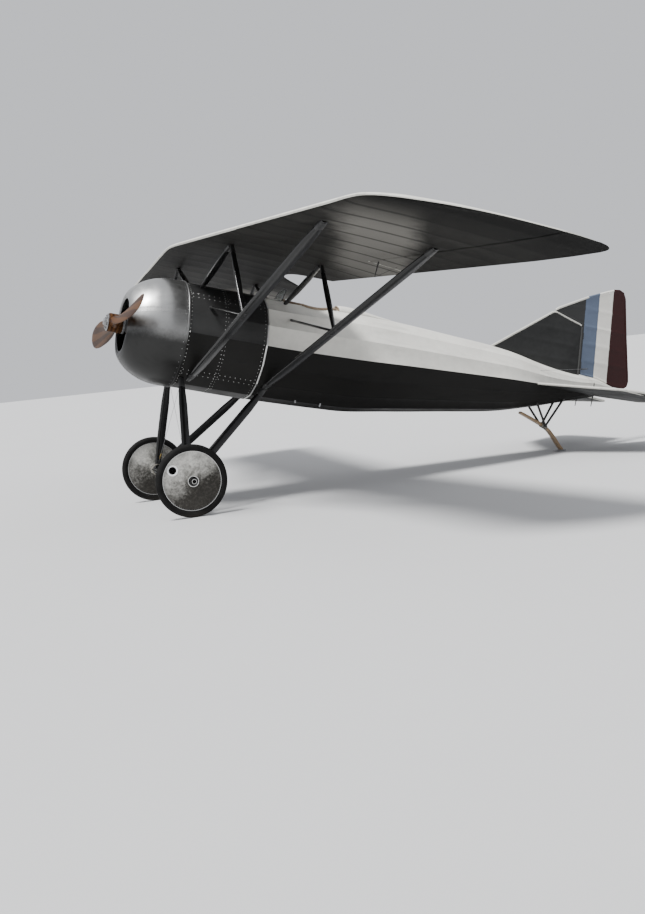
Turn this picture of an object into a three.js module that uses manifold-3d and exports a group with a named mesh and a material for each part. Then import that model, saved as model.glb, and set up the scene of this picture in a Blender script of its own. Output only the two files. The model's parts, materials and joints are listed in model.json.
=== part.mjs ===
// A parasol monoplane of about 1918, parked on its wheels and tail skid.
// Millimetres. The aircraft is drawn in its own datum frame: x aft, y to starboard, z up, with the
// origin on the wheel axle and the thrust line level. The whole is then turned nose-up by the ground
// angle and set on the ground, with the row origin under the middle of its bounding box.
import * as THREE from "three";
import { mergeVertices } from "three/addons/utils/BufferGeometryUtils.js";
import Module from "manifold-3d";

const wasm = await Module();
wasm.setup();

// Driving dimensions
const GROUND_ANGLE = THREE.MathUtils.degToRad(15); // nose-up attitude when parked
const GAP = 0.35; // left between touching pieces
const SIDES = { port: -1, starboard: 1 };

const wheel = { radius: 325, tyre: 33, track: 1600, disc: 36, hub: 62, hubRadius: 48, bore: 23.5 };
// Valve hole in each outer wheel cover
const valve = { angle: THREE.MathUtils.degToRad(146), distance: 202, radius: 34 };
const axle = { radius: 22.5, overhang: 34, cap: 38, capLength: 16 };
const thrustZ = 1320; // thrust line above the axle
const cowl = { rear: -150 - GAP, wall: 6, flange: 478 };
const wing = {
  rootLeading: -355, // where the two straight leading edges would meet
  leadingSlope: 0.0915,
  apexRounding: 220,
  rootTrailing: 1125,
  trailingSlope: 0.1327,
  z: 2100, // leading edge at the root
  incidence: THREE.MathUtils.degToRad(1.93),
  droop: THREE.MathUtils.degToRad(0.9), // of each half towards its tip
  thickness: 96,
};
const cutout = { halfWidth: 400, front: 830, rear: 1175, power: 2.5 }; // arch in the trailing edge
const aileron = { inner: 1755, axisX: 805, slope: 0.112, axisRise: 33, nose: 18, gap: 8 };
const tail = {
  hingeX: 4345, // rudder hinge line at hingeZ
  hingeZ: 1620,
  lean: 0.0706, // forward lean of the rudder hinge line
  elevatorX: 4440,
  z: 1455, // stabilizer and elevator plane
  tube: 15, // radius of the tube that joins the two elevators
  thickness: 28,
  hingeGap: 22, // from a hinge line to the fixed surface ahead of it
};
const propeller = { x: -735, radius: 1220, hubRadius: 88, tilt: THREE.MathUtils.degToRad(5.7) };
const engine = {
  plane: -345, // of the cylinders
  drum: 158,
  shaft: 42,
  nose: 66,
  cylinders: 9,
  bore: 50,
  fin: 62,
  top: 452, // radius over the cylinder heads
};
const gear = {
  apexY: 655, // where the legs of a side meet at the axle
  front: { x: -108, y: 272, z: 906 },
  rear: { x: 692, y: 298, z: 925 },
  chord: 74,
  thickness: 36,
};
const skid = { tipX: 4250, thickness: 30, width: 58 };

// Wing struts, in one bay at each spar. The main strut runs from the foot to the top; its braces
// leave it at a share of its length, to the apex over the cabane strut and to the fuselage side.
const BAYS = {
  front: {
    foot: [-27, 280, 912],
    top: [147, 2860],
    apex: [-6, 990],
    deck: [-18, 200, 1770],
    side: [38, 419, 1584],
  },
  rear: {
    foot: [691, 318, 940],
    top: [1040, 2860],
    apex: [836, 990],
    deck: [812, 200, 1770],
    side: [835, 404, 1605],
  },
};
const BRACE_SHARE = 0.47;

// Fuselage stations: x, height of the section's centre, radius of the sixteen-sided section
const STATIONS = [
  [-150, 1320, 498],
  [600, 1320, 502],
  [1500, 1342, 503],
  [2100, 1375, 460],
  [2700, 1408, 402],
  [3300, 1440, 340],
  [3830, 1464, 231],
  [4250, 1505, 148],
  [4500, 1541, 111],
  [4670, 1557, 60],
  [4790, 1569, 18],
].map(([x, z, r]) => ({ x, z, r }));
const FUSELAGE_SIDES = 16;
const PANEL_JOINT = 600; // metal panels end
const DECK_JOINT = 1620; // cockpit section ends
const cockpit = { front: 850, rear: 1390, halfWidth: 215, wall: 22, floorFront: 640, floorRear: 1580 };
const HEADREST = [
  // x, half width, height over the deck
  [1412, 96, 30],
  [1424, 108, 40],
  [1520, 106, 42],
  [1690, 86, 31],
  [1860, 56, 15],
  [2020, 22, 4],
];

const v3 = (x, y, z) => new THREE.Vector3(x, y, z);

// Closed mesh to solid, whichever way its faces point
function solid(geometry) {
  const bare = geometry.index ? geometry.toNonIndexed() : geometry.clone();
  bare.deleteAttribute("normal");
  bare.deleteAttribute("uv");
  const merged = mergeVertices(bare, 1e-3);
  const index = Uint32Array.from(merged.index.array);
  const vertProperties = Float32Array.from(merged.attributes.position.array);
  const build = () => new wasm.Manifold(new wasm.Mesh({ numProp: 3, vertProperties, triVerts: index }));
  const made = build();
  if (made.volume() > 0) return made;
  for (let i = 0; i < index.length; i += 3) [index[i + 1], index[i + 2]] = [index[i + 2], index[i + 1]];
  return build();
}

function largest(body) {
  return body.decompose().reduce((a, b) => (b.volume() > a.volume() ? b : a));
}

function geometryOf(body) {
  const mesh = body.getMesh();
  return new THREE.BufferGeometry()
    .setAttribute("position", new THREE.BufferAttribute(Float32Array.from(mesh.vertProperties), 3))
    .setIndex(new THREE.BufferAttribute(Uint32Array.from(mesh.triVerts), 1))
    .toNonIndexed();
}

// Loft through rings of equal point counts; each ring is symmetrical about its point 0, so that the
// end caps are strips between point k and point n - k
function loft(rings) {
  const n = rings[0].length;
  const index = [];
  for (let i = 0; i + 1 < rings.length; i++)
    for (let j = 0; j < n; j++) {
      const a = i * n + j;
      const b = i * n + ((j + 1) % n);
      index.push(a, b, b + n, a, b + n, a + n);
    }
  const last = (rings.length - 1) * n;
  for (let k = 0; k < n / 2; k++) {
    const quad = [k, k + 1, n - k - 1, (n - k) % n];
    for (const [p, q, r] of [
      [0, 1, 2],
      [0, 2, 3],
    ]) {
      const tri = [quad[p], quad[q], quad[r]];
      if (new Set(tri).size < 3) continue;
      index.push(tri[0], tri[2], tri[1], last + tri[0], last + tri[1], last + tri[2]);
    }
  }
  const geometry = new THREE.BufferGeometry().setFromPoints(rings.flat());
  geometry.setIndex(index);
  return solid(geometry);
}

const box = (x, y, z, at) => solid(new THREE.BoxGeometry(x, y, z).translate(at.x, at.y, at.z));

function cylinder(radius, from, to, segments = 20, endRadius = radius) {
  const length = from.distanceTo(to);
  const turn = new THREE.Quaternion().setFromUnitVectors(v3(0, 1, 0), to.clone().sub(from).normalize());
  const middle = from.clone().lerp(to, 0.5);
  const shape = new THREE.CylinderGeometry(endRadius, radius, length, segments);
  return solid(shape.applyQuaternion(turn).translate(middle.x, middle.y, middle.z));
}

// Revolved about y; axis x puts it on the thrust line instead
function lathe(points, segments, axis = "y") {
  const shape = new THREE.LatheGeometry(
    points.map(([r, along]) => new THREE.Vector2(r, along)),
    segments,
  );
  if (axis === "x") shape.rotateZ(-Math.PI / 2).translate(0, 0, thrustZ);
  return solid(shape);
}

// Value of a table of [key, value] rows at a key
function tableAt(table, key) {
  const next = table.findIndex(([k]) => k >= key);
  if (next <= 0) return next === 0 ? table[0][1] : table.at(-1)[1];
  const [k0, a] = table[next - 1];
  const [k1, b] = table[next];
  return a + ((b - a) * (key - k0)) / (k1 - k0);
}

// Fuselage

function stationAt(x) {
  return {
    z: tableAt(STATIONS.map((s) => [s.x, s.z]), x),
    r: tableAt(STATIONS.map((s) => [s.x, s.r]), x),
  };
}

function fuselageSection(from, to, grow = 0) {
  const inside = STATIONS.map((s) => s.x).filter((x) => x > from + 1 && x < to - 1);
  return loft(
    [from, ...inside, to].map((x) => {
      const { z, r } = stationAt(x);
      return Array.from({ length: FUSELAGE_SIDES }, (_, k) => {
        const angle = (k / FUSELAGE_SIDES) * 2 * Math.PI;
        return v3(x, (r + grow) * Math.sin(angle), z + (r + grow) * Math.cos(angle));
      });
    }),
  );
}

// Space inside the cockpit's walls
const cabin = () => fuselageSection(cockpit.floorFront, cockpit.floorRear, -cockpit.wall - GAP);

function cockpitSection() {
  const half = new THREE.Shape();
  const middle = (cockpit.front + cockpit.rear) / 2;
  half.absellipse(middle, 0, (cockpit.rear - cockpit.front) / 2, cockpit.halfWidth, 0, 2 * Math.PI);
  const hole = solid(
    new THREE.ExtrudeGeometry(half, { depth: 400, bevelEnabled: false, curveSegments: 12 })
      .translate(0, 0, 1600),
  );
  return fuselageSection(PANEL_JOINT + GAP, DECK_JOINT - GAP)
    .subtract(fuselageSection(cockpit.floorFront, cockpit.floorRear, -cockpit.wall))
    .subtract(hole);
}

// Padded leather rim laid along the cockpit's edge
function coaming() {
  const middle = (cockpit.front + cockpit.rear) / 2;
  const a = (cockpit.rear - cockpit.front) / 2;
  const rings = Array.from({ length: 24 }, (_, k) => {
    const angle = (k / 24) * 2 * Math.PI;
    const x = middle + a * Math.cos(angle);
    const y = cockpit.halfWidth * Math.sin(angle);
    const { z, r } = stationAt(x);
    const deck = z + Math.sqrt(Math.max(0, (r * 0.985) ** 2 - y * y));
    const out = v3(Math.cos(angle) / a, Math.sin(angle) / cockpit.halfWidth, 0).normalize();
    return Array.from({ length: 8 }, (_, j) => {
      const turn = (j / 8) * 2 * Math.PI;
      return v3(x, y, deck + 6)
        .addScaledVector(out, 17 * Math.cos(turn))
        .add(v3(0, 0, 17 * Math.sin(turn)));
    });
  });
  const n = 8;
  const index = [];
  rings.forEach((_, i) => {
    const next = ((i + 1) % rings.length) * n;
    for (let j = 0; j < n; j++) {
      const k = (j + 1) % n;
      index.push(i * n + j, i * n + k, next + k, i * n + j, next + k, next + j);
    }
  });
  const ring = new THREE.BufferGeometry().setFromPoints(rings.flat());
  ring.setIndex(index);
  const deckGrown = fuselageSection(PANEL_JOINT + 2, DECK_JOINT - 2, GAP);
  return largest(solid(ring).subtract(deckGrown.subtract(cabin())));
}

// Fairing behind the pilot's head
function headrest() {
  const rings = HEADREST.map(([x, half, height]) => {
    const { z, r } = stationAt(x);
    return Array.from({ length: 13 }, (_, k) => {
      const turn = (k / 12) * Math.PI;
      return v3(x, -half * Math.cos(turn), z + r + height * Math.sin(turn) ** 0.8);
    }).concat([v3(x, half, z + r - 90), v3(x, -half, z + r - 90)]);
  });
  return largest(loft(rings).subtract(bodyGrown));
}

// Engine and nose

const COWL_PROFILE = [
  [-662, 268],
  [-668, 286],
  [-655, 318],
  [-620, 362],
  [-565, 410],
  [-495, 450],
  [-410, 482],
  [-300, 500],
  [cowl.rear, 505],
];

function engineCowl() {
  const outer = COWL_PROFILE.map(([x, r]) => [r, x]);
  const inner = COWL_PROFILE.slice(1, -1)
    .reverse()
    .map(([x, r]) => [r - cowl.wall, x + cowl.wall]);
  const flange = [
    [cowl.flange, cowl.rear],
    [cowl.flange, cowl.rear - cowl.wall],
    [COWL_PROFILE.at(-1)[1] - cowl.wall, cowl.rear - cowl.wall],
  ];
  return lathe([...outer, ...flange, ...inner, outer[0]], 40, "x");
}

function rotaryEngine() {
  const half = 78;
  const crankcase = lathe(
    [
      [engine.shaft + 1, engine.plane + half],
      [engine.shaft + 1, engine.plane + 10],
      [0, engine.plane + 10],
      [0, propeller.x + 66 + GAP],
      [engine.nose, propeller.x + 66 + GAP],
      [engine.nose, engine.plane - half - 70],
      [engine.drum - 30, engine.plane - half],
      [engine.drum, engine.plane - half + 30],
      [engine.drum, engine.plane + half - 20],
      [engine.drum - 20, engine.plane + half],
      [engine.shaft + 1, engine.plane + half],
    ],
    27,
    "x",
  );
  const fins = 4;
  const pitch = (engine.top - 60 - engine.drum) / fins;
  const profile = [[0, engine.drum - 30], [engine.bore, engine.drum - 30]];
  for (let i = 0; i < fins; i++) {
    const base = engine.drum + 22 + i * pitch;
    profile.push([engine.bore, base], [engine.fin, base + 4]);
    profile.push([engine.fin, base + 30], [engine.bore, base + 34]);
  }
  profile.push([engine.bore, engine.top - 40], [30, engine.top], [0, engine.top]);
  let body = crankcase;
  for (let i = 0; i < engine.cylinders; i++) {
    const turn = new THREE.Matrix4()
      .makeTranslation(engine.plane, 0, thrustZ)
      .multiply(new THREE.Matrix4().makeRotationX((i / engine.cylinders) * 2 * Math.PI));
    const barrel = new THREE.LatheGeometry(profile.map(([r, h]) => new THREE.Vector2(r, h)), 10);
    body = body.add(solid(barrel.applyMatrix4(turn)));
    const pushrod = new THREE.CylinderGeometry(7, 7, engine.top - engine.drum + 10, 6)
      .translate(-engine.fin - 3, (engine.top + engine.drum) / 2 - 15, 0)
      .applyMatrix4(turn);
    body = body.add(solid(pushrod));
  }
  return body;
}

// Two wooden blades; rings run along the blade, with the chord turned by the pitch
const BLADE = [
  // share of radius, chord, thickness, pitch in degrees
  [-0.02, 128, 128, 90],
  [0.06, 122, 118, 80],
  [0.16, 132, 76, 52],
  [0.3, 178, 50, 37],
  [0.5, 214, 34, 26],
  [0.7, 218, 24, 20],
  [0.86, 190, 17, 16],
  [0.96, 130, 11, 14],
  [1.0, 60, 6, 13],
].map(([share, chord, thickness, pitch]) => ({ share, chord, thickness, pitch }));

function propellerBody() {
  const blade = loft(
    BLADE.map(({ share, chord, thickness, pitch }) => {
      const angle = THREE.MathUtils.degToRad(pitch);
      const along = v3(Math.sin(angle), 0, Math.cos(angle));
      const across = v3(Math.cos(angle), 0, -Math.sin(angle));
      return Array.from({ length: 12 }, (_, k) => {
        const turn = (k / 12) * 2 * Math.PI;
        return v3(0, -share * propeller.radius, 0)
          .addScaledVector(along, (chord / 2) * Math.cos(turn))
          .addScaledVector(across, (thickness / 2) * Math.sin(turn));
      });
    }),
  );
  const place = new THREE.Matrix4()
    .makeTranslation(propeller.x, 0, thrustZ)
    .multiply(new THREE.Matrix4().makeRotationX(-propeller.tilt));
  const turned = (angle) => {
    const g = geometryOf(blade);
    return solid(g.applyMatrix4(place.clone().multiply(new THREE.Matrix4().makeRotationX(angle))));
  };
  const boss = lathe(
    [
      [0, propeller.x - 66],
      [propeller.hubRadius - 6, propeller.x - 66],
      [propeller.hubRadius, propeller.x - 58],
      [propeller.hubRadius, propeller.x + 66],
      [0, propeller.x + 66],
    ],
    24,
    "x",
  );
  return turned(0).add(turned(Math.PI)).add(boss);
}

function propellerHub() {
  const face = propeller.x - 66 - GAP;
  let plate = lathe(
    [
      [0, face],
      [propeller.hubRadius - 8, face],
      [propeller.hubRadius - 8, face - 9],
      [34, face - 9],
      [30, face - 40],
      [0, face - 40],
    ],
    24,
    "x",
  );
  for (let i = 0; i < 8; i++) {
    const angle = (i / 8) * 2 * Math.PI;
    const y = 58 * Math.sin(angle);
    const z = thrustZ + 58 * Math.cos(angle);
    plate = plate.add(cylinder(9, v3(face - 5, y, z), v3(face - 22, y, z), 6));
  }
  return plate;
}

// Struts of streamlined section, chord along x
function strut(from, to, chord, thickness, grow = 0, extend = [0, 0]) {
  const line = to.clone().sub(from).normalize();
  const a = from.clone().addScaledVector(line, -extend[0]);
  const b = to.clone().addScaledVector(line, extend[1]);
  const fore = v3(1, 0, 0).addScaledVector(line, -line.x).normalize();
  const side = line.clone().cross(fore);
  const SECTION = [
    // share of chord from the nose, share of half thickness
    [0, 0],
    [0.06, 0.6],
    [0.3, 1],
    [0.62, 0.72],
    [1, 0.1],
  ];
  const outline = [...SECTION, ...SECTION.slice(1).reverse().map(([f, t]) => [f, -t])];
  const ring = (centre) =>
    outline.map(([f, t]) =>
      centre
        .clone()
        .addScaledVector(fore, (f - 0.5) * (chord + 2 * grow))
        .addScaledVector(side, t * (thickness / 2 + grow)),
    );
  return loft([ring(a), ring(b)]);
}

// Wing

const TIP_LEADING = [
  // y, x of the leading edge
  [3660, -20],
  [3800, 5],
  [3900, 60],
  [3990, 160],
  [4070, 310],
  [4140, 480],
  [4190, 655],
  [4228, 870],
  [4248, 1100],
  [4255, 1240],
];
const TIP_TRAILING = [
  // y, x of the trailing edge
  [4000, 1656],
  [4060, 1664],
  [4120, 1665],
  [4170, 1652],
  [4215, 1610],
  [4245, 1535],
  [4255, 1470],
];
const TIP_THICKNESS = [
  // y, share of the full thickness
  [3400, 1],
  [3800, 0.8],
  [4050, 0.52],
  [4180, 0.3],
  [4255, 0.13],
];
const AIRFOIL = [
  // share of chord, upper surface, lower surface, both as shares of the thickness
  [0, 0.16, 0.16],
  [0.02, 0.42, -0.01],
  [0.06, 0.62, -0.05],
  [0.14, 0.86, 0],
  [0.28, 1, 0.1],
  [0.45, 0.96, 0.17],
  [0.62, 0.78, 0.19],
  [0.78, 0.52, 0.14],
  [0.9, 0.28, 0.08],
  [1, 0.07, 0],
];

const leadingEdge = (y) =>
  y <= TIP_LEADING[0][0]
    ? wing.rootLeading + wing.leadingSlope * Math.hypot(y, wing.apexRounding)
    : tableAt(TIP_LEADING, y);
const trailingEdge = (y) =>
  y <= TIP_TRAILING[0][0] ? wing.rootTrailing + wing.trailingSlope * y : tableAt(TIP_TRAILING, y);
const wingDatum = (x, y) =>
  wing.z - (x - wing.rootLeading) * Math.tan(wing.incidence) - y * Math.tan(wing.droop);
const upperAt = (share) => tableAt(AIRFOIL.map(([f, u]) => [f, u]), share);
const lowerAt = (share) => tableAt(AIRFOIL.map(([f, , l]) => [f, l]), share);

// Thickness of the wing at y, and the height over the datum plane from which its section is drawn:
// it thins towards the tip about the height of the aileron's axis
function thicknessAt(y) {
  const share = tableAt(TIP_THICKNESS, y);
  return { thick: wing.thickness * share, base: aileron.axisRise * (1 - share) };
}

// Heights of the wing's two surfaces at a point of its plan
function wingSurface(x, y) {
  const front = leadingEdge(y);
  const share = (x - front) / (trailingEdge(y) - front);
  const { thick, base } = thicknessAt(y);
  const datumZ = wingDatum(x, y) + base;
  return { upper: datumZ + upperAt(share) * thick, lower: datumZ + lowerAt(share) * thick };
}

function wingSection(y, side, grow = 0) {
  const front = leadingEdge(y) - grow;
  const chord = trailingEdge(y) + grow - front;
  const { thick, base } = thicknessAt(y);
  const at = (f, h, g) => {
    const x = front + f * chord;
    return v3(x, side * y, wingDatum(x, y) + base + h * thick + g);
  };
  const upper = AIRFOIL.map(([f, u]) => at(f, u, f === 0 ? 0 : grow));
  const lower = AIRFOIL.slice(1).map(([f, , l]) => at(f, l, -grow));
  return [...upper, ...lower.reverse()];
}

function wingHalf(side, grow = 0) {
  const span = [GAP / 2 - grow, 90, 180, 320, 520, 1400, ...TIP_LEADING.map(([y]) => y)];
  return loft(span.map((y) => wingSection(Math.max(y, 0), side, grow)));
}

// Hinge line of an aileron
function aileronAxis(side) {
  const at = (y) => {
    const x = aileron.axisX + aileron.slope * y;
    return v3(x, side * y, wingDatum(x, y) + aileron.axisRise);
  };
  return { inner: at(aileron.inner), outer: at(4250), at };
}

// Everything inside the arch cut in the middle of the trailing edge
function cutoutBody() {
  const steps = 20;
  const arch = Array.from({ length: steps + 1 }, (_, k) => {
    const share = (2 * k) / steps - 1;
    const x = cutout.front + (cutout.rear - cutout.front) * Math.abs(share) ** cutout.power;
    return new THREE.Vector2(x, share * cutout.halfWidth);
  });
  arch.push(new THREE.Vector2(1500, cutout.halfWidth), new THREE.Vector2(1500, -cutout.halfWidth));
  const shape = new THREE.ExtrudeGeometry(new THREE.Shape(arch), { depth: 500, bevelEnabled: false });
  return solid(shape.translate(0, 0, wing.z - 250));
}

// Solid given in a frame whose z runs along a hinge line, x aft and y across
function inFrame(geometry, origin, along, aft) {
  const across = along.clone().cross(aft).normalize();
  const square = across.clone().cross(along).normalize();
  const matrix = new THREE.Matrix4().makeBasis(square, across, along).setPosition(origin);
  return solid(geometry.applyMatrix4(matrix));
}

// Adds hinges: lugs on the fixed piece, with pins across notches in the moving one
function hinge({ fixed, moving, places, along, aft, reach, nose }) {
  const notch = { height: 34, depth: nose + 8 };
  for (const place of places) {
    const put = (g) => inFrame(g, place, along, aft);
    const cut = new THREE.BoxGeometry(reach + notch.depth + 40, 120, notch.height);
    moving = moving
      .subtract(put(cut.translate((notch.depth - reach - 40) / 2, 0, 0)))
      .add(put(new THREE.CylinderGeometry(5, 5, notch.height + 12, 12).rotateX(Math.PI / 2)));
    const lug = put(new THREE.BoxGeometry(reach + 34, 18, 22).translate(-(reach + 14) / 2, 0, 0));
    const bore = put(new THREE.CylinderGeometry(5.6, 5.6, 60, 12).rotateX(Math.PI / 2));
    fixed = fixed.add(lug).subtract(bore);
  }
  return { fixed, moving };
}

function wingAndAileron(side) {
  const axis = aileronAxis(side);
  const along = axis.outer.clone().sub(axis.inner).normalize();
  const aft = v3(1, 0, 0);
  const behind = aileron.nose + aileron.gap;
  const reachOut = 3000;
  const pocket = inFrame(
    new THREE.BoxGeometry(900, 600, reachOut).translate(450 - behind, 0, reachOut / 2 - aileron.gap),
    axis.inner,
    along,
    aft,
  );
  let fixed = largest(wingHalf(side).subtract(pocket).subtract(cutoutBody()));
  const SPAN = [aileron.inner, 2600, 3400, 3780, 4000, 4060, 4120, 4170, 4210, 4240, 4248];
  const NOSE_POINTS = 5;
  const rings = SPAN.map((y) => {
    const centre = axis.at(y);
    const back = trailingEdge(y);
    const { upper, lower } = wingSurface(centre.x, y);
    const radius = Math.min(aileron.nose, (upper - lower) / 2 - 1);
    const mid = (upper + lower) / 2;
    const tailZ = wingDatum(back, y) + thicknessAt(y).base;
    const nose = Array.from({ length: NOSE_POINTS }, (_, k) => {
      const turn = (k / (NOSE_POINTS - 1)) * (Math.PI / 2);
      return [centre.x - radius * Math.cos(turn), radius * Math.sin(turn)];
    });
    const ring = nose.map(([x, h]) => v3(x, side * y, mid + h));
    for (const share of [0.35, 0.7]) {
      const x = centre.x + (back - centre.x) * share;
      ring.push(v3(x, side * y, wingSurface(x, y).upper));
    }
    ring.push(v3(back, side * y, tailZ + 5), v3(back, side * y, tailZ - 1));
    for (const share of [0.7, 0.35]) {
      const x = centre.x + (back - centre.x) * share;
      ring.push(v3(x, side * y, wingSurface(x, y).lower));
    }
    ring.push(...nose.slice(1).reverse().map(([x, h]) => v3(x, side * y, mid - h)));
    return ring;
  });
  let moving = loft(rings);
  const places = [1950, 2850, 3700].map((y) => axis.at(y));
  ({ fixed, moving } = hinge({ fixed, moving, places, along, aft, reach: behind, nose: aileron.nose }));
  return { fixed: largest(fixed), moving: largest(moving) };
}

// Tail surfaces: flat, with a chamfered edge, cut to an outline in the xz or xy plane
function plate(outline, thickness, plane) {
  const shape = new THREE.Shape(outline.map(([a, b]) => new THREE.Vector2(a, b)));
  const bevel = thickness * 0.32;
  const geometry = new THREE.ExtrudeGeometry(shape, {
    depth: thickness - 2 * bevel,
    bevelThickness: bevel,
    bevelSize: bevel,
    bevelOffset: -bevel,
    bevelSegments: 1,
  }).translate(0, 0, -thickness / 2 + bevel);
  if (plane === "xz") geometry.rotateX(Math.PI / 2);
  else geometry.translate(0, 0, tail.z);
  return solid(geometry);
}

const hingeXAt = (z) => tail.hingeX - (z - tail.hingeZ) * tail.lean;

function finAndRudder(body) {
  const gap = tail.hingeGap;
  const finOutline = [
    [3170, 1752],
    [3895, 2268],
    [3925, 2276],
    [hingeXAt(2190) - gap, 2184],
    [hingeXAt(1600) - gap, 1600],
    [3600, 1600],
  ];
  const nose = tail.thickness / 2;
  const rudderOutline = [
    [hingeXAt(1668) - nose, 1668],
    [hingeXAt(2204) - nose, 2204],
    [3945, 2292],
    [3935, 2306],
    [3965, 2328],
    [4310, 2506],
    [4600, 2630],
    [4690, 2650],
    [4750, 2632],
    [4783, 2572],
    [4862, 2187],
    [4962, 1740],
    [4972, 1680],
    [4962, 1628],
    [4925, 1603],
    [4785, 1601],
    [4668, 1634],
    [4505, 1667],
  ];
  let fixed = largest(plate(finOutline, tail.thickness, "xz").subtract(body));
  let moving = plate(rudderOutline, tail.thickness, "xz");
  const along = v3(-tail.lean, 0, 1).normalize();
  const places = [1760, 2080].map((z) => v3(hingeXAt(z), 0, z));
  return hinge({ fixed, moving, places, along, aft: v3(1, 0, 0), reach: gap, nose });
}

function stabilizerOutline(side) {
  const back = tail.elevatorX - tail.hingeGap;
  return [
    [3585, 60],
    [4120, 1118],
    [4150, 1128],
    [back, 1040],
    [back, 30],
    [3700, 30],
  ].map(([x, y]) => [x, side * y]);
}

function elevatorOutline(side) {
  const nose = tail.elevatorX - tail.thickness / 2;
  return [
    [nose, 122],
    [nose, 1060],
    [4172, 1148],
    [4165, 1164],
    [4195, 1182],
    [4440, 1300],
    [4660, 1385],
    [4800, 1392],
    [4868, 1330],
    [4905, 1200],
    [4935, 360],
    [4925, 304],
    [4880, 280],
    [4560, 142],
    [nose + 60, 122],
  ].map(([x, y]) => [x, side * y]);
}

const elevatorTube = (radius, reach) =>
  cylinder(radius, v3(tail.elevatorX, -reach, tail.z), v3(tail.elevatorX, reach, tail.z), 16);

function tailplane(body) {
  const fixed = {};
  let moving = elevatorTube(tail.tube, 130);
  for (const [name, side] of Object.entries(SIDES)) {
    fixed[name] = largest(plate(stabilizerOutline(side), tail.thickness, "xy").subtract(body));
    const half = plate(elevatorOutline(side), tail.thickness, "xy");
    const places = [260, 900].map((y) => v3(tail.elevatorX, side * y, tail.z));
    const made = hinge({
      fixed: fixed[name],
      moving: half,
      places,
      along: v3(0, side, 0),
      aft: v3(1, 0, 0),
      reach: tail.hingeGap,
      nose: tail.thickness / 2,
    });
    fixed[name] = made.fixed;
    moving = moving.add(made.moving);
  }
  return { fixed, moving };
}

// Landing gear

function tyre() {
  const { radius, tyre: section } = wheel;
  const centre = radius - section;
  const points = Array.from({ length: 13 }, (_, k) => {
    const turn = (k / 12) * 2 * Math.PI;
    return [centre + section * Math.cos(turn), section * Math.sin(turn)];
  });
  return lathe(points, 48);
}

function wheelDisc(side) {
  const rim = wheel.radius - 2 * wheel.tyre - GAP + 6;
  const outer = [
    [wheel.bore, wheel.hub],
    [wheel.hubRadius, wheel.hub],
    [wheel.hubRadius, wheel.disc + 10],
    [rim - 12, 16],
    [rim, 12],
  ];
  const inner = outer.map(([r, y]) => [r, -y]).reverse();
  const shape = lathe([...outer, ...inner, outer[0]], 48).subtract(
    lathe(Array.from({ length: 13 }, (_, k) => {
      const turn = (k / 12) * 2 * Math.PI;
      const grown = wheel.tyre + GAP;
      return [wheel.radius - wheel.tyre + grown * Math.cos(turn), grown * Math.sin(turn)];
    }), 48),
  );
  const reach = v3(Math.cos(valve.angle), 0, Math.sin(valve.angle)).multiplyScalar(valve.distance);
  const at = reach.add(v3(0, side * 10, 0));
  return shape.subtract(cylinder(valve.radius, at, at.clone().add(v3(0, side * 60, 0)), 16));
}

function axleBar() {
  const end = wheel.track / 2 + wheel.hub + axle.overhang;
  let bar = cylinder(axle.radius, v3(0, -end, 0), v3(0, end, 0), 20);
  for (const side of Object.values(SIDES)) {
    const capFrom = side * (wheel.track / 2 + wheel.hub + 2);
    bar = bar.add(cylinder(axle.cap, v3(0, capFrom, 0), v3(0, capFrom + side * axle.capLength, 0), 20));
    const collar = side * (wheel.track / 2 - wheel.hub - 2);
    bar = bar.add(cylinder(axle.cap - 6, v3(0, collar, 0), v3(0, collar - side * 14, 0), 20));
  }
  return bar;
}

// Colours and finishes
const paint = {
  upper: { color: 0xc9c7bd, roughness: 0.62, metalness: 0.05 },
  lower: { color: 0x2b2a27, roughness: 0.7, metalness: 0 },
  metal: { color: 0xd2d3d2, roughness: 0.35, metalness: 0.85 },
  strut: { color: 0x1c1b1a, roughness: 0.5, metalness: 0.1 },
  wood: { color: 0x6b3f1f, roughness: 0.4, metalness: 0 },
  steel: { color: 0x6d6f70, roughness: 0.4, metalness: 0.8 },
  rubber: { color: 0x191817, roughness: 0.85, metalness: 0 },
  cover: { color: 0xb9b7ae, roughness: 0.7, metalness: 0 },
  leather: { color: 0x3a2415, roughness: 0.6, metalness: 0 },
  glass: { color: 0xdfe8ea, roughness: 0.1, metalness: 0 },
  rudder: { color: 0xd9d7d0, roughness: 0.65, metalness: 0 },
};

const root = new THREE.Group();
const datum = new THREE.Group(); // everything that leans with the thrust line
const level = new THREE.Group(); // wheels and axle, whose place doesn't turn with it
root.add(datum, level);

function add(group, name, body, finish) {
  const mesh = new THREE.Mesh(geometryOf(body), new THREE.MeshStandardMaterial(paint[finish]));
  mesh.name = name;
  group.add(mesh);
  return mesh;
}

// Assembly

const tailEnd = STATIONS.at(-1).x;
const bodyGrown = fuselageSection(-150 - GAP, tailEnd + GAP, GAP);
const wings = { port: wingAndAileron(-1), starboard: wingAndAileron(1) };
const wingGrown = { port: wingHalf(-1, GAP), starboard: wingHalf(1, GAP) };

const shaft = cylinder(engine.shaft, v3(-140, 0, thrustZ), v3(engine.plane + 20, 0, thrustZ), 24);
add(datum, "fuselage_forward", fuselageSection(-150, PANEL_JOINT - GAP).add(shaft), "metal");
add(datum, "fuselage_cockpit", cockpitSection(), "upper");
const tailBore = elevatorTube(tail.tube + 1.5, 300);
add(datum, "fuselage_rear", fuselageSection(DECK_JOINT, tailEnd).subtract(tailBore), "upper");
add(datum, "headrest", headrest(), "upper");
add(datum, "cockpit_coaming", coaming(), "leather");
add(datum, "engine_cowl", engineCowl(), "metal");
add(datum, "rotary_engine", rotaryEngine(), "steel");
add(datum, "propeller", propellerBody(), "wood");
add(datum, "propeller_hub", propellerHub(), "steel");

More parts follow.
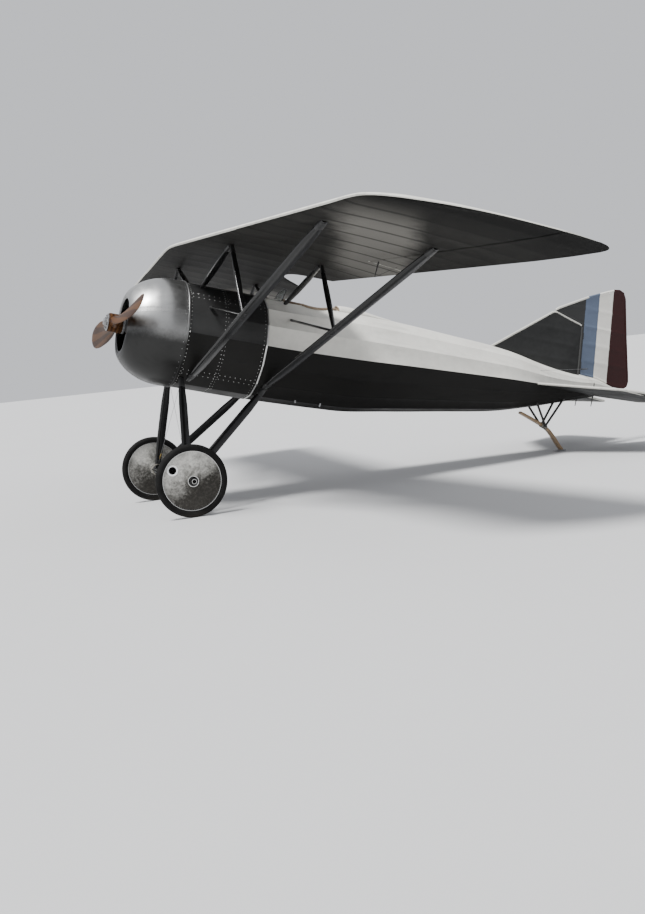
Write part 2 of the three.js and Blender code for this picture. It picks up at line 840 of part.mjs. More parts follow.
for (const [name, { fixed, moving }] of Object.entries(wings)) {
  add(datum, `wing_${name}`, fixed, "upper");
  add(datum, `aileron_${name}`, moving, "upper");
}

const vertical = finAndRudder(bodyGrown);
add(datum, "fin", vertical.fixed, "lower");
add(datum, "rudder", vertical.moving, "rudder");
const horizontal = tailplane(bodyGrown);
add(datum, "stabilizer_port", horizontal.fixed.port, "lower");
add(datum, "stabilizer_starboard", horizontal.fixed.starboard, "lower");
add(datum, "elevator", horizontal.moving, "upper");

const mainStruts = {}; // grown, so that the gear legs can be cut back from them
for (const [name, side] of Object.entries(SIDES))
  for (const [bay, at] of Object.entries(BAYS)) {
    const onWing = ([x, y]) => v3(x, side * y, wingSurface(x, y).lower);
    const point = ([x, y, z]) => v3(x, side * y, z);
    const top = onWing(at.top);
    const foot = point(at.foot);
    const joint = foot.clone().lerp(top, BRACE_SHARE);
    const apex = onWing(at.apex);
    const main = (grow = 0) => strut(foot, top, 92, 38, grow, [70, 40]);
    mainStruts[`${bay}_${name}`] = main(GAP);
    const trimmed = (body) => largest(body.subtract(bodyGrown).subtract(wingGrown[name]));
    const lean = v3(0, side * 24, 0);
    const up = (grow = 0) => strut(joint, apex.clone().add(lean), 54, 28, grow, [0, 30]);
    add(datum, `main_strut_${bay}_${name}`, trimmed(main()), "strut");
    add(datum, `wing_brace_${bay}_${name}`, trimmed(up().subtract(main(GAP))), "strut");
    const sideBrace = strut(joint, point(at.side), 48, 24, 0, [0, 90]).subtract(main(GAP));
    add(datum, `side_brace_${bay}_${name}`, trimmed(sideBrace.subtract(up(GAP))), "strut");
    const cabane = strut(apex.clone().sub(lean), point(at.deck), 62, 30, 0, [30, 60]);
    add(datum, `cabane_strut_${bay}_${name}`, trimmed(cabane.subtract(up(GAP))), "strut");
  }

// Gear legs meet at an axle fitting, which the axle passes through with a working clearance
for (const [name, side] of Object.entries(SIDES)) {
  const apex = v3(0, side * gear.apexY, 0);
  const leg = ({ x, y, z }, grow = 0) =>
    strut(apex, v3(x, side * y, z), gear.chord, gear.thickness, grow, [0, 60]);
  const drum = (radius, half) => cylinder(radius, v3(0, apex.y - half, 0), v3(0, apex.y + half, 0));
  const fitting = (grow = 0) => drum(66 + grow, 26 + grow);
  const slot = drum(axle.radius + 0.5, 200);
  const ends = fitting(GAP).add(slot).add(bodyGrown);
  const trimmed = (body, bay) => largest(body.subtract(ends).subtract(mainStruts[`${bay}_${name}`]));
  const rear = leg(gear.rear).subtract(leg(gear.front, GAP));
  add(datum, `gear_leg_front_${name}`, trimmed(leg(gear.front), "front"), "strut");
  add(datum, `gear_leg_rear_${name}`, trimmed(rear, "rear"), "strut");
  add(datum, `axle_fitting_${name}`, fitting().subtract(slot), "rubber");
}

// Spreader bar ahead of and behind the axle, joined by the fittings
const spreaderEnd = gear.apexY - 26 - GAP;
const spreader = (x) => strut(v3(x, -spreaderEnd, 0), v3(x, spreaderEnd, 0), 40, 20);
add(datum, "spreader_front", spreader(-44), "strut");
add(datum, "spreader_rear", spreader(44), "strut");

add(level, "axle", axleBar(), "steel");
for (const [name, side] of Object.entries(SIDES)) {
  const y = (side * wheel.track) / 2;
  const rubber = add(level, `tyre_${name}`, tyre(), "rubber");
  const disc = add(level, `wheel_${name}`, wheelDisc(side), "cover");
  for (const mesh of [rubber, disc]) {
    mesh.position.y = y;
    mesh.rotation.y = Math.PI / 48; // a flat of the tyre meets the ground
  }
}

// Tail skid: a sprung ash beam on a short pyramid of tubes under the fuselage
const flatRadius = wheel.radius * Math.cos(Math.PI / 48);
const groundAt = (x) => (x * Math.sin(GROUND_ANGLE) - flatRadius) / Math.cos(GROUND_ANGLE);
const skidPivot = v3(3980, 0, 1040);
const skidTop = v3(3670, 0, 1140);
function tailSkid() {
  const heel = v3(skid.tipX, 0, groundAt(skid.tipX));
  const line = [skidTop, skidPivot, v3(4120, 0, 940), heel.clone().add(v3(0, 0, 14))];
  const rings = line.map((p, i) => {
    const next = line[Math.min(i + 1, line.length - 1)];
    const ahead = next.clone().sub(line[Math.max(i - 1, 0)]).normalize();
    const across = v3(0, 1, 0);
    const normal = ahead.clone().cross(across);
    const half = (skid.thickness / 2) * (i === 0 ? 0.8 : 1);
    return [
      [-1, -1],
      [-1, 1],
      [1, 1],
      [1, -1],
    ].map(([a, b]) =>
      p
        .clone()
        .addScaledVector(across, (a * skid.width) / 2)
        .addScaledVector(normal, b * half),
    );
  });
  // Shoe whose flat sole lies on the ground
  const sole = new THREE.BoxGeometry(120, skid.width + 14, 16)
    .translate(0, 0, 8)
    .applyMatrix4(new THREE.Matrix4().makeRotationY(-GROUND_ANGLE))
    .translate(heel.x - 20, 0, groundAt(heel.x - 20));
  return loft(rings).add(solid(sole));
}
function skidPylon() {
  const tube = (from, to) => cylinder(13, from, to, 10);
  let frame = cylinder(16, v3(skidPivot.x, -46, skidPivot.z), v3(skidPivot.x, 46, skidPivot.z), 14);
  for (const side of Object.values(SIDES)) {
    const foot = v3(skidPivot.x, side * 44, skidPivot.z);
    frame = frame.add(tube(foot, v3(3760, side * 120, 1330))).add(tube(foot, v3(4160, side * 90, 1440)));
  }
  return frame.subtract(bodyGrown);
}
add(datum, "tail_skid_pylon", largest(skidPylon()), "steel");
const pin = cylinder(16 + GAP, v3(skidPivot.x, -60, skidPivot.z), v3(skidPivot.x, 60, skidPivot.z), 14);
add(datum, "tail_skid", largest(tailSkid().subtract(pin).subtract(bodyGrown)), "wood");

// Cockpit fittings
const deckAt = (x) => stationAt(x).z + stationAt(x).r;
function windscreen() {
  const shape = new THREE.Shape();
  shape.moveTo(-150, 0);
  shape.lineTo(-120, 120);
  shape.quadraticCurveTo(0, 175, 120, 120);
  shape.lineTo(150, 0);
  const pane = new THREE.ExtrudeGeometry(shape, { depth: 5, bevelEnabled: false, curveSegments: 6 });
  pane.rotateX(Math.PI / 2).rotateZ(Math.PI / 2).rotateY(THREE.MathUtils.degToRad(20));
  pane.translate(cockpit.front - 60, 0, deckAt(cockpit.front) - 26);
  return largest(solid(pane).subtract(bodyGrown));
}
add(datum, "windscreen", windscreen(), "glass");

function pilotSeat() {
  const pan = box(380, 400, 20, v3(1180, 0, 1120));
  const back = box(20, 400, 330, v3(1372, 0, 1275));
  const sides = box(380, 420, 90, v3(1180, 0, 1155)).subtract(box(420, 380, 200, v3(1180, 0, 1230)));
  const post = box(300, 40, 260, v3(1180, 0, 990));
  return largest(pan.add(back).add(sides).add(post).intersect(cabin()));
}
add(datum, "pilot_seat", pilotSeat(), "wood");

function instrumentBoard() {
  const board = box(14, 1200, 260, v3(825, 0, 1660));
  return largest(board.intersect(cabin()));
}
add(datum, "instrument_board", instrumentBoard(), "wood");

function controlColumn() {
  const stick = cylinder(13, v3(930, 0, 700), v3(960, 0, 1370), 12);
  const grip = cylinder(20, v3(959, 0, 1330), v3(966, 0, 1430), 12);
  return largest(stick.add(grip).intersect(cabin()));
}
add(datum, "control_column", controlColumn(), "steel");

datum.rotation.y = GROUND_ANGLE;
root.updateMatrixWorld(true);
const extent = new THREE.Box3().setFromObject(root, true);
root.position.set(-(extent.min.x + extent.max.x) / 2, 0, flatRadius);

export default root;
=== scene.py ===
"""Looks of a parasol monoplane of about 1918, laid out as a Blender add-on.

All lengths are in metres. Shapes are drawn in the aircraft's datum frame, with x aft, y to starboard,
z up, the origin on the wheel axle and the thrust line level. DATUM turns that frame into the frame
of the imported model, in which the aircraft stands nose-up on its wheels and tail skid.
"""

import json
from math import asin, atan2, ceil, copysign, cos, dist, exp, hypot, pi, radians, sin, sqrt, tan, tau

import bmesh
import bpy
import numpy as np
from bpy.props import FloatProperty, FloatVectorProperty, PointerProperty
from mathutils import Matrix, Vector

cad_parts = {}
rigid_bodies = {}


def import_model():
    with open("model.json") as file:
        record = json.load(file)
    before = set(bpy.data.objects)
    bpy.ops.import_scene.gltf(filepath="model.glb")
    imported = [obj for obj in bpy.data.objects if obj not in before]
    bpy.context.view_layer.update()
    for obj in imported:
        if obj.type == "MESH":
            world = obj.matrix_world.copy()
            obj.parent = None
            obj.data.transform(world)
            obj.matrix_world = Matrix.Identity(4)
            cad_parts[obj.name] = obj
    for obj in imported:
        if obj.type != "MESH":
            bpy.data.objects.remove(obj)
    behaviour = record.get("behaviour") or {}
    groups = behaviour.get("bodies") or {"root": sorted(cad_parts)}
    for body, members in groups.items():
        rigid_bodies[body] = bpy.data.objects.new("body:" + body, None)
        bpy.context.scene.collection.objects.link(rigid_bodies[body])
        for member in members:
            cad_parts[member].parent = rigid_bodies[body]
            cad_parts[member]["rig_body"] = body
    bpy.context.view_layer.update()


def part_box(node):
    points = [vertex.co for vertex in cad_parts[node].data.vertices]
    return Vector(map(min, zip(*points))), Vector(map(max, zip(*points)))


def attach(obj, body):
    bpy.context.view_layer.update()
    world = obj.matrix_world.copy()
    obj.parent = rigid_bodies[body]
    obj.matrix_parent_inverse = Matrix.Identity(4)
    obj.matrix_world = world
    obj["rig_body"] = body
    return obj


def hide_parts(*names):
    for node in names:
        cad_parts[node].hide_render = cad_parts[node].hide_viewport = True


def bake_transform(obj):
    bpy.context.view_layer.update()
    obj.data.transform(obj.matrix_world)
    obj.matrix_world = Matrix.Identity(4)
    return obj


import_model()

bl_info = {
    "name": "Parasol Monoplane",
    "version": (1, 0, 0),
    "blender": (4, 5, 0),
    "location": "View3D > Sidebar > Monoplane",
    "description": "Builds the covering, metal, wood and rigging of a parasol monoplane",
    "category": "Add Mesh",
}

# Driving dimensions, in the datum frame
GROUND_ANGLE = radians(15)
AXLE = sum(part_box("axle"), Vector()) / 2
DATUM = Matrix.Translation(AXLE) @ Matrix.Rotation(GROUND_ANGLE, 4, "Y")
LEVEL = Matrix.Translation(AXLE)
SIDES = {"port": -1, "starboard": 1}
THRUST_Z = 1.32

# Camera of the photograph, in the datum frame: place in metres, turns in degrees
CAMERA = {"place": (-2.405, -10.144, 0.435), "yaw": 21.05, "pitch": 0.36, "roll": 8.3}
PHOTO_SIZE = (645, 914)
FOCAL_PIXELS = 1085.4
SENSOR_WIDTH = 36
SUNWARD = (-0.62, -0.08, 0.78)  # towards the key light, in the datum frame
FLOOR_REACH = 60

# Fuselage stations: x, height of the centre, radius of the sixteen-sided section
STATIONS = (
    (-0.15, 1.32, 0.498),
    (0.6, 1.32, 0.502),
    (1.5, 1.342, 0.503),
    (2.1, 1.375, 0.46),
    (2.7, 1.408, 0.402),
    (3.3, 1.44, 0.34),
    (3.83, 1.464, 0.231),
    (4.25, 1.505, 0.148),
    (4.5, 1.541, 0.111),
    (4.67, 1.557, 0.06),
    (4.79, 1.569, 0.018),
)
TAIL_END = STATIONS[-1][0]
FUSELAGE_SIDES = 16
SIDE_STEPS = 6  # columns of skin on each side of the section
PANEL_ENDS = (-0.15, 0.2, 0.6)
PANEL_JOINT = PANEL_ENDS[-1]
DECK_JOINT = 1.62
COCKPIT = {"front": 0.85, "rear": 1.39, "half_width": 0.215}
COCKPIT_HOOPS = (0.66, 0.83, 1.5)
DIALS = (
    # y, z, radius
    (-0.24, 1.64, 0.045),
    (-0.12, 1.69, 0.05),
    (0.02, 1.64, 0.062),
    (0.16, 1.69, 0.045),
    (0.27, 1.63, 0.04),
)
HEADREST = (
    # x, half width, height over the deck
    (1.412, 0.096, 0.03),
    (1.424, 0.108, 0.04),
    (1.52, 0.106, 0.042),
    (1.69, 0.086, 0.031),
    (1.86, 0.056, 0.015),
    (2.02, 0.022, 0.004),
)

# Wing: tip tables give y and x, the airfoil gives shares of the chord and of the thickness
WING_Z = 2.1
WING_INCIDENCE = radians(1.93)
WING_DROOP = radians(0.9)
WING_THICKNESS = 0.096
ROOT_LEADING, LEADING_SLOPE, APEX_ROUNDING = -0.355, 0.0915, 0.22
ROOT_TRAILING, TRAILING_SLOPE = 1.125, 0.1327
TIP_LEADING = (
    *((3.66, -0.02), (3.8, 0.005), (3.9, 0.06), (3.99, 0.16), (4.07, 0.31)),
    *((4.14, 0.48), (4.19, 0.655), (4.228, 0.87), (4.248, 1.1), (4.255, 1.24)),
)
TIP_TRAILING = (
    *((4.0, 1.656), (4.06, 1.664), (4.12, 1.665), (4.17, 1.652)),
    *((4.215, 1.61), (4.245, 1.535), (4.255, 1.47)),
)
TIP_THICKNESS = ((3.4, 1), (3.8, 0.8), (4.05, 0.52), (4.18, 0.3), (4.255, 0.13))
TIP_Y = TIP_LEADING[-1][0]
TIP_START = 4.0  # from here out the skin's rows draw closer together
AIRFOIL = (
    # share of chord, upper surface, lower surface
    (0, 0.16, 0.16),
    (0.02, 0.42, -0.01),
    (0.06, 0.62, -0.05),
    (0.14, 0.86, 0),
    (0.28, 1, 0.1),
    (0.45, 0.96, 0.17),
    (0.62, 0.78, 0.19),
    (0.78, 0.52, 0.14),
    (0.9, 0.28, 0.08),
    (1, 0.07, 0),
)
CUTOUT = {"half_width": 0.4, "front": 0.83, "power": 2.5}
AILERON = {
    "inner": 1.755,
    "outer": 4.248,
    "x": 0.805,
    "slope": 0.112,
    "rise": 0.033,
    "nose": 0.018,
    "gap": 0.008,
}
AILERON_HINGES = (1.95, 2.85, 3.7)
AILERON_HORN_Y = 1.86
RIB_SPACING = 0.33
WING_COLUMNS = 34  # columns of skin from the nose to the trailing edge
# The upper linen wrapped round the nose makes a painted highlight along the leading edge
NOSE_WRAP = 2  # columns of upper linen that go round the nose
AILERON_NOSE_POINTS, AILERON_COLUMNS = 9, 16

# Tail: outlines give height or y, then x
HINGE = {"x": 4.345, "z": 1.62, "lean": 0.0706}
TAIL_Z = 1.455
ELEVATOR_X = 4.44
TAIL_GAP = 0.022
TAIL_EDGE = 0.0125  # radius of the edge tubes
TAIL_LINEN = {"thick": 0.012, "rib": 0.018, "edge": 0.03}  # half thickness, reach of a rib and of an edge
# The pale edge tubes of the tail are a painted highlight
TAIL_FINISHES = ("grey linen", "tail edge", "fitting", "tail post")
FIN_RIBS = (1.78, 1.95, 2.1)
RUDDER_RIBS = (1.82, 2.0, 2.19, 2.38)
STABILIZER_RIBS = (0.3, 0.55, 0.8)
ELEVATOR_RIBS = (0.3, 0.52, 0.74, 0.96, 1.16)
RUDDER_BANDS = {"lean": 0.0737, "middle": 4.6396, "rear": 4.8156}
HORN_Z, HORN_Y = 1.72, 0.15  # rudder's horn and elevator's horns
FIN_FRONT = ((1.6, 2.95), (1.752, 3.17), (2.268, 3.895), (2.276, 3.925))
FIN_TOP = ((2.2, 4.245), (2.235, 4.1), (2.262, 4.0), (2.276, 3.94))
RUDDER_FOOT = ((1.601, 4.785), (1.634, 4.668), (1.667, 4.505))
RUDDER_HORN = (
    *((2.292, 3.945), (2.306, 3.935), (2.328, 3.965), (2.506, 4.31)),
    *((2.6, 4.53), (2.64, 4.63), (2.65, 4.69)),
)
RUDDER_BACK = (
    *((1.601, 4.9), (1.603, 4.925), (1.628, 4.962), (1.68, 4.972), (1.74, 4.962)),
    *((2.187, 4.862), (2.572, 4.783), (2.632, 4.75), (2.65, 4.7)),
)
STABILIZER_FRONT = ((0.03, 3.57), (1.118, 4.12), (1.128, 4.15))
ELEVATOR_HORN = ((1.148, 4.172), (1.164, 4.165), (1.182, 4.195), (1.3, 4.44), (1.385, 4.66), (1.392, 4.78))
ELEVATOR_BACK = (
    *((0.142, 4.56), (0.28, 4.88), (0.304, 4.925), (0.36, 4.935)),
    *((1.2, 4.905), (1.33, 4.868), (1.392, 4.8)),
)

# Nose: the cowl's profile gives x and radius, the blade shares of its radius, sizes and degrees
PROPELLER = {"x": -0.735, "radius": 1.22, "hub": 0.088, "tilt": radians(5.7)}
ENGINE = {"plane": -0.345, "drum": 0.158, "nose": 0.066, "fin": 0.062, "top": 0.452}
COWL_PROFILE = (
    *((-0.662, 0.268), (-0.668, 0.286), (-0.655, 0.318), (-0.62, 0.362), (-0.565, 0.41)),
    *((-0.495, 0.45), (-0.41, 0.482), (-0.3, 0.5), (-0.15, 0.505)),
)
COWL_WALL, COWL_LIP, COWL_RIM = 0.004, 0.009, 0.5045
BLADE = (
    # share of radius, chord, thickness, pitch
    (-0.02, 0.128, 0.128, 90),
    (0.06, 0.122, 0.118, 80),
    (0.16, 0.132, 0.076, 52),
    (0.3, 0.178, 0.05, 37),
    (0.5, 0.214, 0.034, 26),
    (0.7, 0.218, 0.024, 20),
    (0.86, 0.19, 0.017, 16),
    (0.96, 0.13, 0.011, 14),
    (1.0, 0.06, 0.006, 13),
)

# Wheels and gear
WHEEL = {"radius": 0.325, "tyre": 0.0325, "track": 1.6, "disc": 0.036, "hub": 0.062, "hub_radius": 0.048}
TREAD = 0.0012
SPOKES = 40
VALVE = {"angle": radians(146), "distance": 0.202, "hole": 0.034, "ring": 0.049, "depth": 0.018}
GEAR_APEX_Y = 0.655
GEAR_TOPS = {"front": (-0.108, 0.272, 0.906), "rear": (0.692, 0.298, 0.925)}
SKID_LINE = ((3.67, 1.14), (3.8, 1.1), (3.98, 1.04), (4.05, 1.0), (4.12, 0.94), (4.19, 0.87))
SKID_HEEL_X = 4.25
SKID_HALF = (0.029, 0.015)  # half width and half depth of the beam
PYLON_FEET = ((3.76, 0.12, 1.31), (4.16, 0.09, 1.42))

# Wing struts: foot, top on the wing, apex on the wing, deck, side, share of the node along the main strut
BAYS = {
    "front": {
        "foot": (-0.027, 0.28, 0.912),
        "top": (0.147, 2.86),
        "apex": (-0.006, 0.99),
        "deck": (-0.018, 0.2, 1.77),
        "side": (0.038, 0.419, 1.584),
        "node": 0.47,
    },
    "rear": {
        "foot": (0.691, 0.318, 0.94),
        "top": (1.04, 2.86),
        "apex": (0.836, 0.99),
        "deck": (0.812, 0.2, 1.77),
        "side": (0.835, 0.404, 1.605),
        "node": 0.47,
    },
}
STRUT_SECTION = (
    *((0, 0), (0.03, 0.42), (0.1, 0.74), (0.2, 0.94), (0.32, 1)),
    *((0.46, 0.95), (0.62, 0.76), (0.8, 0.46), (0.93, 0.2), (1, 0.06)),
)
STRUT_TAPER = {"end": 0.62, "length": 0.3}  # share of the chord at the ends, and how far the taper goes
SOCKET = ((0, 1.04), (0.005, 1.07), (0.085, 1.07), (0.09, 1.02))  # distance, growth over the strut
SCREW = 0.0042
WIRE = 0.0016
TURNBUCKLE_START = 0.09
TURNBUCKLE = (
    # distance, radius
    *((0, 0.0022), (0.012, 0.005), (0.03, 0.006)),
    *((0.055, 0.006), (0.073, 0.005), (0.085, 0.0022)),
)
CABLE_EXIT = (3.72, 0.2, 1.6)  # where a rudder cable leaves the fuselage


# Settings that a user would change


def colour(name, description, default):
    return FloatVectorProperty(
        name=name, description=description, default=default, size=3, min=0, max=1, subtype="COLOR"
    )


class CoveringSettings(bpy.types.PropertyGroup):
    """Doped linen over the fuselage, wings and tail."""

    pale: colour("Pale", "Dope on the upper fuselage and wing", (0.78, 0.765, 0.7))
    # The near-black lower fuselage is painted shade of its unlit lower half
    dark: colour("Dark", "Dope on the lower fuselage", (0.011, 0.0106, 0.0098))
    # The wing's near-black underside is painted shade
    underside: colour("Underside", "Dope under the wing", (0.0125, 0.012, 0.0108))
    grey: colour("Grey", "Dope on the fin and tailplane", (0.032, 0.0325, 0.032))
    sag: FloatProperty(
        name="Sag",
        description="How far the linen sinks between ribs and stringers",
        default=0.006,
        min=0,
        max=0.02,
        unit="LENGTH",
    )


class MetalSettings(bpy.types.PropertyGroup):
    """Cowl, panels and engine."""

    cowl: colour("Cowl", "Polished cowl sheet", (0.5, 0.5, 0.49))
    # The panels' near-black tone is painted shadow of the wing above them
    panel: colour("Panels", "Satin sheet behind the cowl", (0.09, 0.09, 0.089))
    steel: colour("Steel", "Hubs, tubes and fittings", (0.34, 0.34, 0.345))
    roughness: FloatProperty(
        name="Roughness",
        description="Roughness of the polished cowl",
        default=0.27,
        min=0,
        max=1,
        subtype="FACTOR",
    )


class WoodSettings(bpy.types.PropertyGroup):
    """Struts, propeller and cockpit joinery."""

    strut: colour("Struts", "Enamel on the struts", (0.005, 0.005, 0.005))
    light_layer: colour("Light layer", "Light laminations of the propeller", (0.1, 0.045, 0.017))
    dark_layer: colour("Dark layer", "Dark laminations of the propeller", (0.04, 0.017, 0.007))


class RudderSettings(bpy.types.PropertyGroup):
    """The three bands of the rudder, from the hinge aft."""

    front_band: colour("Front band", "Band at the hinge", (0.12, 0.155, 0.225))
    middle_band: colour("Middle band", "Band in the middle", (0.9, 0.88, 0.82))
    rear_band: colour("Rear band", "Band at the trailing edge", (0.03, 0.003, 0.003))


class WheelSettings(bpy.types.PropertyGroup):
    """Tyres and disc covers."""

    rubber: colour("Rubber", "Tyres", (0.006, 0.0058, 0.0056))
    cover: colour("Cover", "Linen covers of the wheels", (0.56, 0.55, 0.51))


class StageSettings(bpy.types.PropertyGroup):
    """Floor and light."""

    floor: colour("Floor", "Studio floor", (0.58, 0.58, 0.58))
    sky: FloatProperty(name="Sky", description="Strength of the even light", default=0.8, min=0, max=10)
    key: FloatProperty(
        name="Key", description="Irradiance of the overhead light", default=5.4, min=0, max=50
    )
    key_angle: FloatProperty(
        name="Key size",
        description="Angular size of the overhead light",
        default=radians(16),
        min=0,
        max=pi,
        unit="ROTATION",
        subtype="ANGLE",
    )


SETTINGS = {
    "covering": CoveringSettings,
    "metal": MetalSettings,
    "wood": WoodSettings,
    "rudder": RudderSettings,
    "wheel": WheelSettings,
    "stage": StageSettings,
}


def settings(name):
    return getattr(bpy.context.scene, f"monoplane_{name}")


# Node trees


class Tree:
    """Short calls for building a shader node tree."""

    def __init__(self, tree):
        self.tree = tree

    def node(self, kind, **properties):
        made = self.tree.nodes.new(f"ShaderNode{kind}")
        for name, value in properties.items():
            setattr(made, name, value)
        return made

    def feed(self, socket, value):
        if isinstance(value, bpy.types.NodeSocket):
            self.tree.links.new(value, socket)
        elif value is not None:
            socket.default_value = value

    def math(self, operation, a, b=None):
        made = self.node("Math", operation=operation)
        self.feed(made.inputs[0], a)
        self.feed(made.inputs[1], b)
        return made.outputs[0]

    def plus(self, a, b):
        return self.math("ADD", a, b)

    def times(self, a, b):
        return self.math("MULTIPLY", a, b)

    def vector_math(self, operation, vector, other, output=0):
        made = self.node("VectorMath", operation=operation)
        self.feed(made.inputs[0], vector)
        self.feed(made.inputs[1], other)
        return made.outputs[output]

    def stretched(self, *factors):
        return self.vector_math("MULTIPLY", self.place(), factors)

    def dot(self, vector, direction):
        return self.vector_math("DOT_PRODUCT", vector, direction, "Value")

    def noise(self, vector, scale, detail=4, roughness=0.55):
        made = self.node("TexNoise")
        self.feed(made.inputs["Vector"], vector)
        self.feed(made.inputs["Scale"], scale)
        made.inputs["Detail"].default_value = detail
        made.inputs["Roughness"].default_value = roughness
        return made.outputs["Fac"]

    def ramp(self, value, low, high, to_low=0, to_high=1):
        made = self.node("MapRange", interpolation_type="SMOOTHSTEP")
        for socket, given in zip(made.inputs, (value, low, high, to_low, to_high)):
            self.feed(socket, given)
        return made.outputs[0]

    def mix(self, factor, a, b, blend="MIX"):
        made = self.node("Mix", data_type="RGBA", blend_type=blend)
        for index, value in ((0, factor), (6, rgba(a)), (7, rgba(b))):
            self.feed(made.inputs[index], value)
        return made.outputs[2]

    def place(self):
        return self.node("TexCoord").outputs["Object"]

    def along(self, direction):
        """Distance from the wheel axle along a direction of the datum frame."""
        turned = DATUM.to_3x3() @ Vector(direction)
        return self.math("SUBTRACT", self.dot(self.place(), tuple(turned)), AXLE.dot(turned))

    def bump(self, height, strength=0.5, distance=0.001):
        made = self.node("Bump")
        made.inputs["Strength"].default_value = strength
        made.inputs["Distance"].default_value = distance
        self.feed(made.inputs["Height"], height)
        return made.outputs["Normal"]

    def group(self, name, **values):
        made = self.node("Group")
        made.node_tree = EFFECTS[name]()
        for socket, value in values.items():
            self.feed(made.inputs[socket.capitalize()], value)
        return made.outputs[0]


def rgba(value):
    if isinstance(value, bpy.types.NodeSocket):
        return value
    return (*value, 1)


def shade(tone, factor, lift=0):
    """A colour made darker or lighter."""
    return tuple(min(1, c * factor + lift) for c in tone)


def effect(name, inputs, output, fill):
    """A shader node group, built once; fill(tree, sockets) returns the value of its output."""

    def built():
        if name in bpy.data.node_groups:
            return bpy.data.node_groups[name]
        group = bpy.data.node_groups.new(name, "ShaderNodeTree")
        for socket, default in inputs.items():
            made = group.interface.new_socket(socket, in_out="INPUT", socket_type="NodeSocketFloat")
            made.default_value = default
        group.interface.new_socket(output, in_out="OUTPUT", socket_type="NodeSocketFloat")
        tree = Tree(group)
        entry, leave = group.nodes.new("NodeGroupInput"), group.nodes.new("NodeGroupOutput")
        tree.feed(leave.inputs[output], fill(tree, entry.outputs))
        return group

    return built


def fill_weave(tree, given):
    """Crossed threads; the scale is in threads to the metre."""
    place = tree.place()
    threads = []
    for direction in ((1, 0, 0), (0, 1, 0), (0, 0, 1)):
        turns = tree.times(tree.dot(place, direction), given["Scale"])
        threads.append(tree.math("SINE", tree.times(turns, tau)))
    return tree.times(tree.plus(tree.plus(threads[0], threads[1]), threads[2]), 0.33)


def fill_mottle(tree, given):
    """Broad uneven tone with finer flecks."""
    place = tree.place()
    broad = tree.noise(place, given["Scale"], 5, 0.6)
    fine = tree.noise(place, tree.times(given["Scale"], 9), 4, 0.65)
    blend = tree.plus(tree.times(broad, 0.7), tree.times(fine, 0.3))
    return tree.ramp(blend, tree.math("SUBTRACT", 0.5, given["Softness"]), tree.plus(0.5, given["Softness"]))


def fill_dust(tree, given):
    """Dust on what faces up, broken by noise."""
    normal = tree.node("NewGeometry").outputs["Normal"]
    upward = tree.ramp(tree.dot(normal, (0, 0, 1)), 0.1, 1)
    patchy = tree.ramp(tree.noise(tree.place(), 7, 6, 0.7), 0.35, 0.75)
    return tree.times(tree.times(upward, patchy), given["Amount"])


def fill_streaks(tree, given):
    """Oil and rain streaks that run aft and down."""
    streak = tree.noise(tree.stretched(1.2, 9, 3.5), given["Scale"], 6, 0.62)
    return tree.times(tree.ramp(streak, 0.5, 0.72), given["Amount"])


def fill_wear(tree, given):
    """Rubbed edges, from how far the surface is convex."""
    pointed = tree.node("NewGeometry").outputs["Pointiness"]
    edge = tree.ramp(pointed, tree.plus(0.5, given["Width"]), 0.62)
    chips = tree.ramp(tree.noise(tree.place(), 60, 5, 0.7), 0.4, 0.62)
    return tree.times(tree.times(edge, chips), given["Amount"])


def fill_grain(tree, given):
    """Wood grain along y."""
    drawn = tree.stretched(1, 0.06, 1)
    warp = tree.noise(drawn, given["Scale"], 4, 0.6)
    fine = tree.noise(drawn, tree.times(given["Scale"], 6), 5, 0.7)
    rings = tree.math("FRACT", tree.times(warp, 9))
    return tree.plus(tree.times(rings, 0.5), tree.times(fine, 0.5))


def fill_tapes(tree, given):
    """Bands across the span where tapes cover the ribs."""
    y = tree.dot(tree.place(), (0, 1, 0))
    turn = tree.math("FRACT", tree.plus(tree.math("DIVIDE", y, given["Spacing"]), 20.5))
    away = tree.times(tree.math("ABSOLUTE", tree.math("SUBTRACT", turn, 0.5)), given["Spacing"])
    return tree.ramp(away, tree.plus(given["Width"], 0.003), given["Width"])


EFFECTS = {
    "weave": effect("Weave", {"Scale": 600}, "Height", fill_weave),
    "mottle": effect("Mottle", {"Scale": 1, "Softness": 0.2}, "Mask", fill_mottle),
    "dust": effect("Dust", {"Amount": 0.3}, "Mask", fill_dust),
    "streaks": effect("Streaks", {"Scale": 2, "Amount": 0.5}, "Mask", fill_streaks),
    "wear": effect("Edge Wear", {"Amount": 0.5, "Width": 0.02}, "Mask", fill_wear),
    "grain": effect("Wood Grain", {"Scale": 14}, "Tone", fill_grain),
    "tapes": effect("Rib Tapes", {"Spacing": RIB_SPACING, "Width": 0.018}, "Mask", fill_tapes),
}


# Materials


class Finish(Tree):
    """A material with a Principled shader; sockets are set on it or fed by this tree."""

    def __init__(self, name, **sockets):
        self.material = bpy.data.materials.new(name)
        self.material.use_nodes = True
        super().__init__(self.material.node_tree)
        self.shader = self.tree.nodes["Principled BSDF"]
        self.set(**sockets)

    def set(self, **sockets):
        for name, value in sockets.items():
            socket = self.shader.inputs[name.replace("_", " ")]
            self.feed(socket, rgba(value) if socket.type == "RGBA" else value)
        return self.material


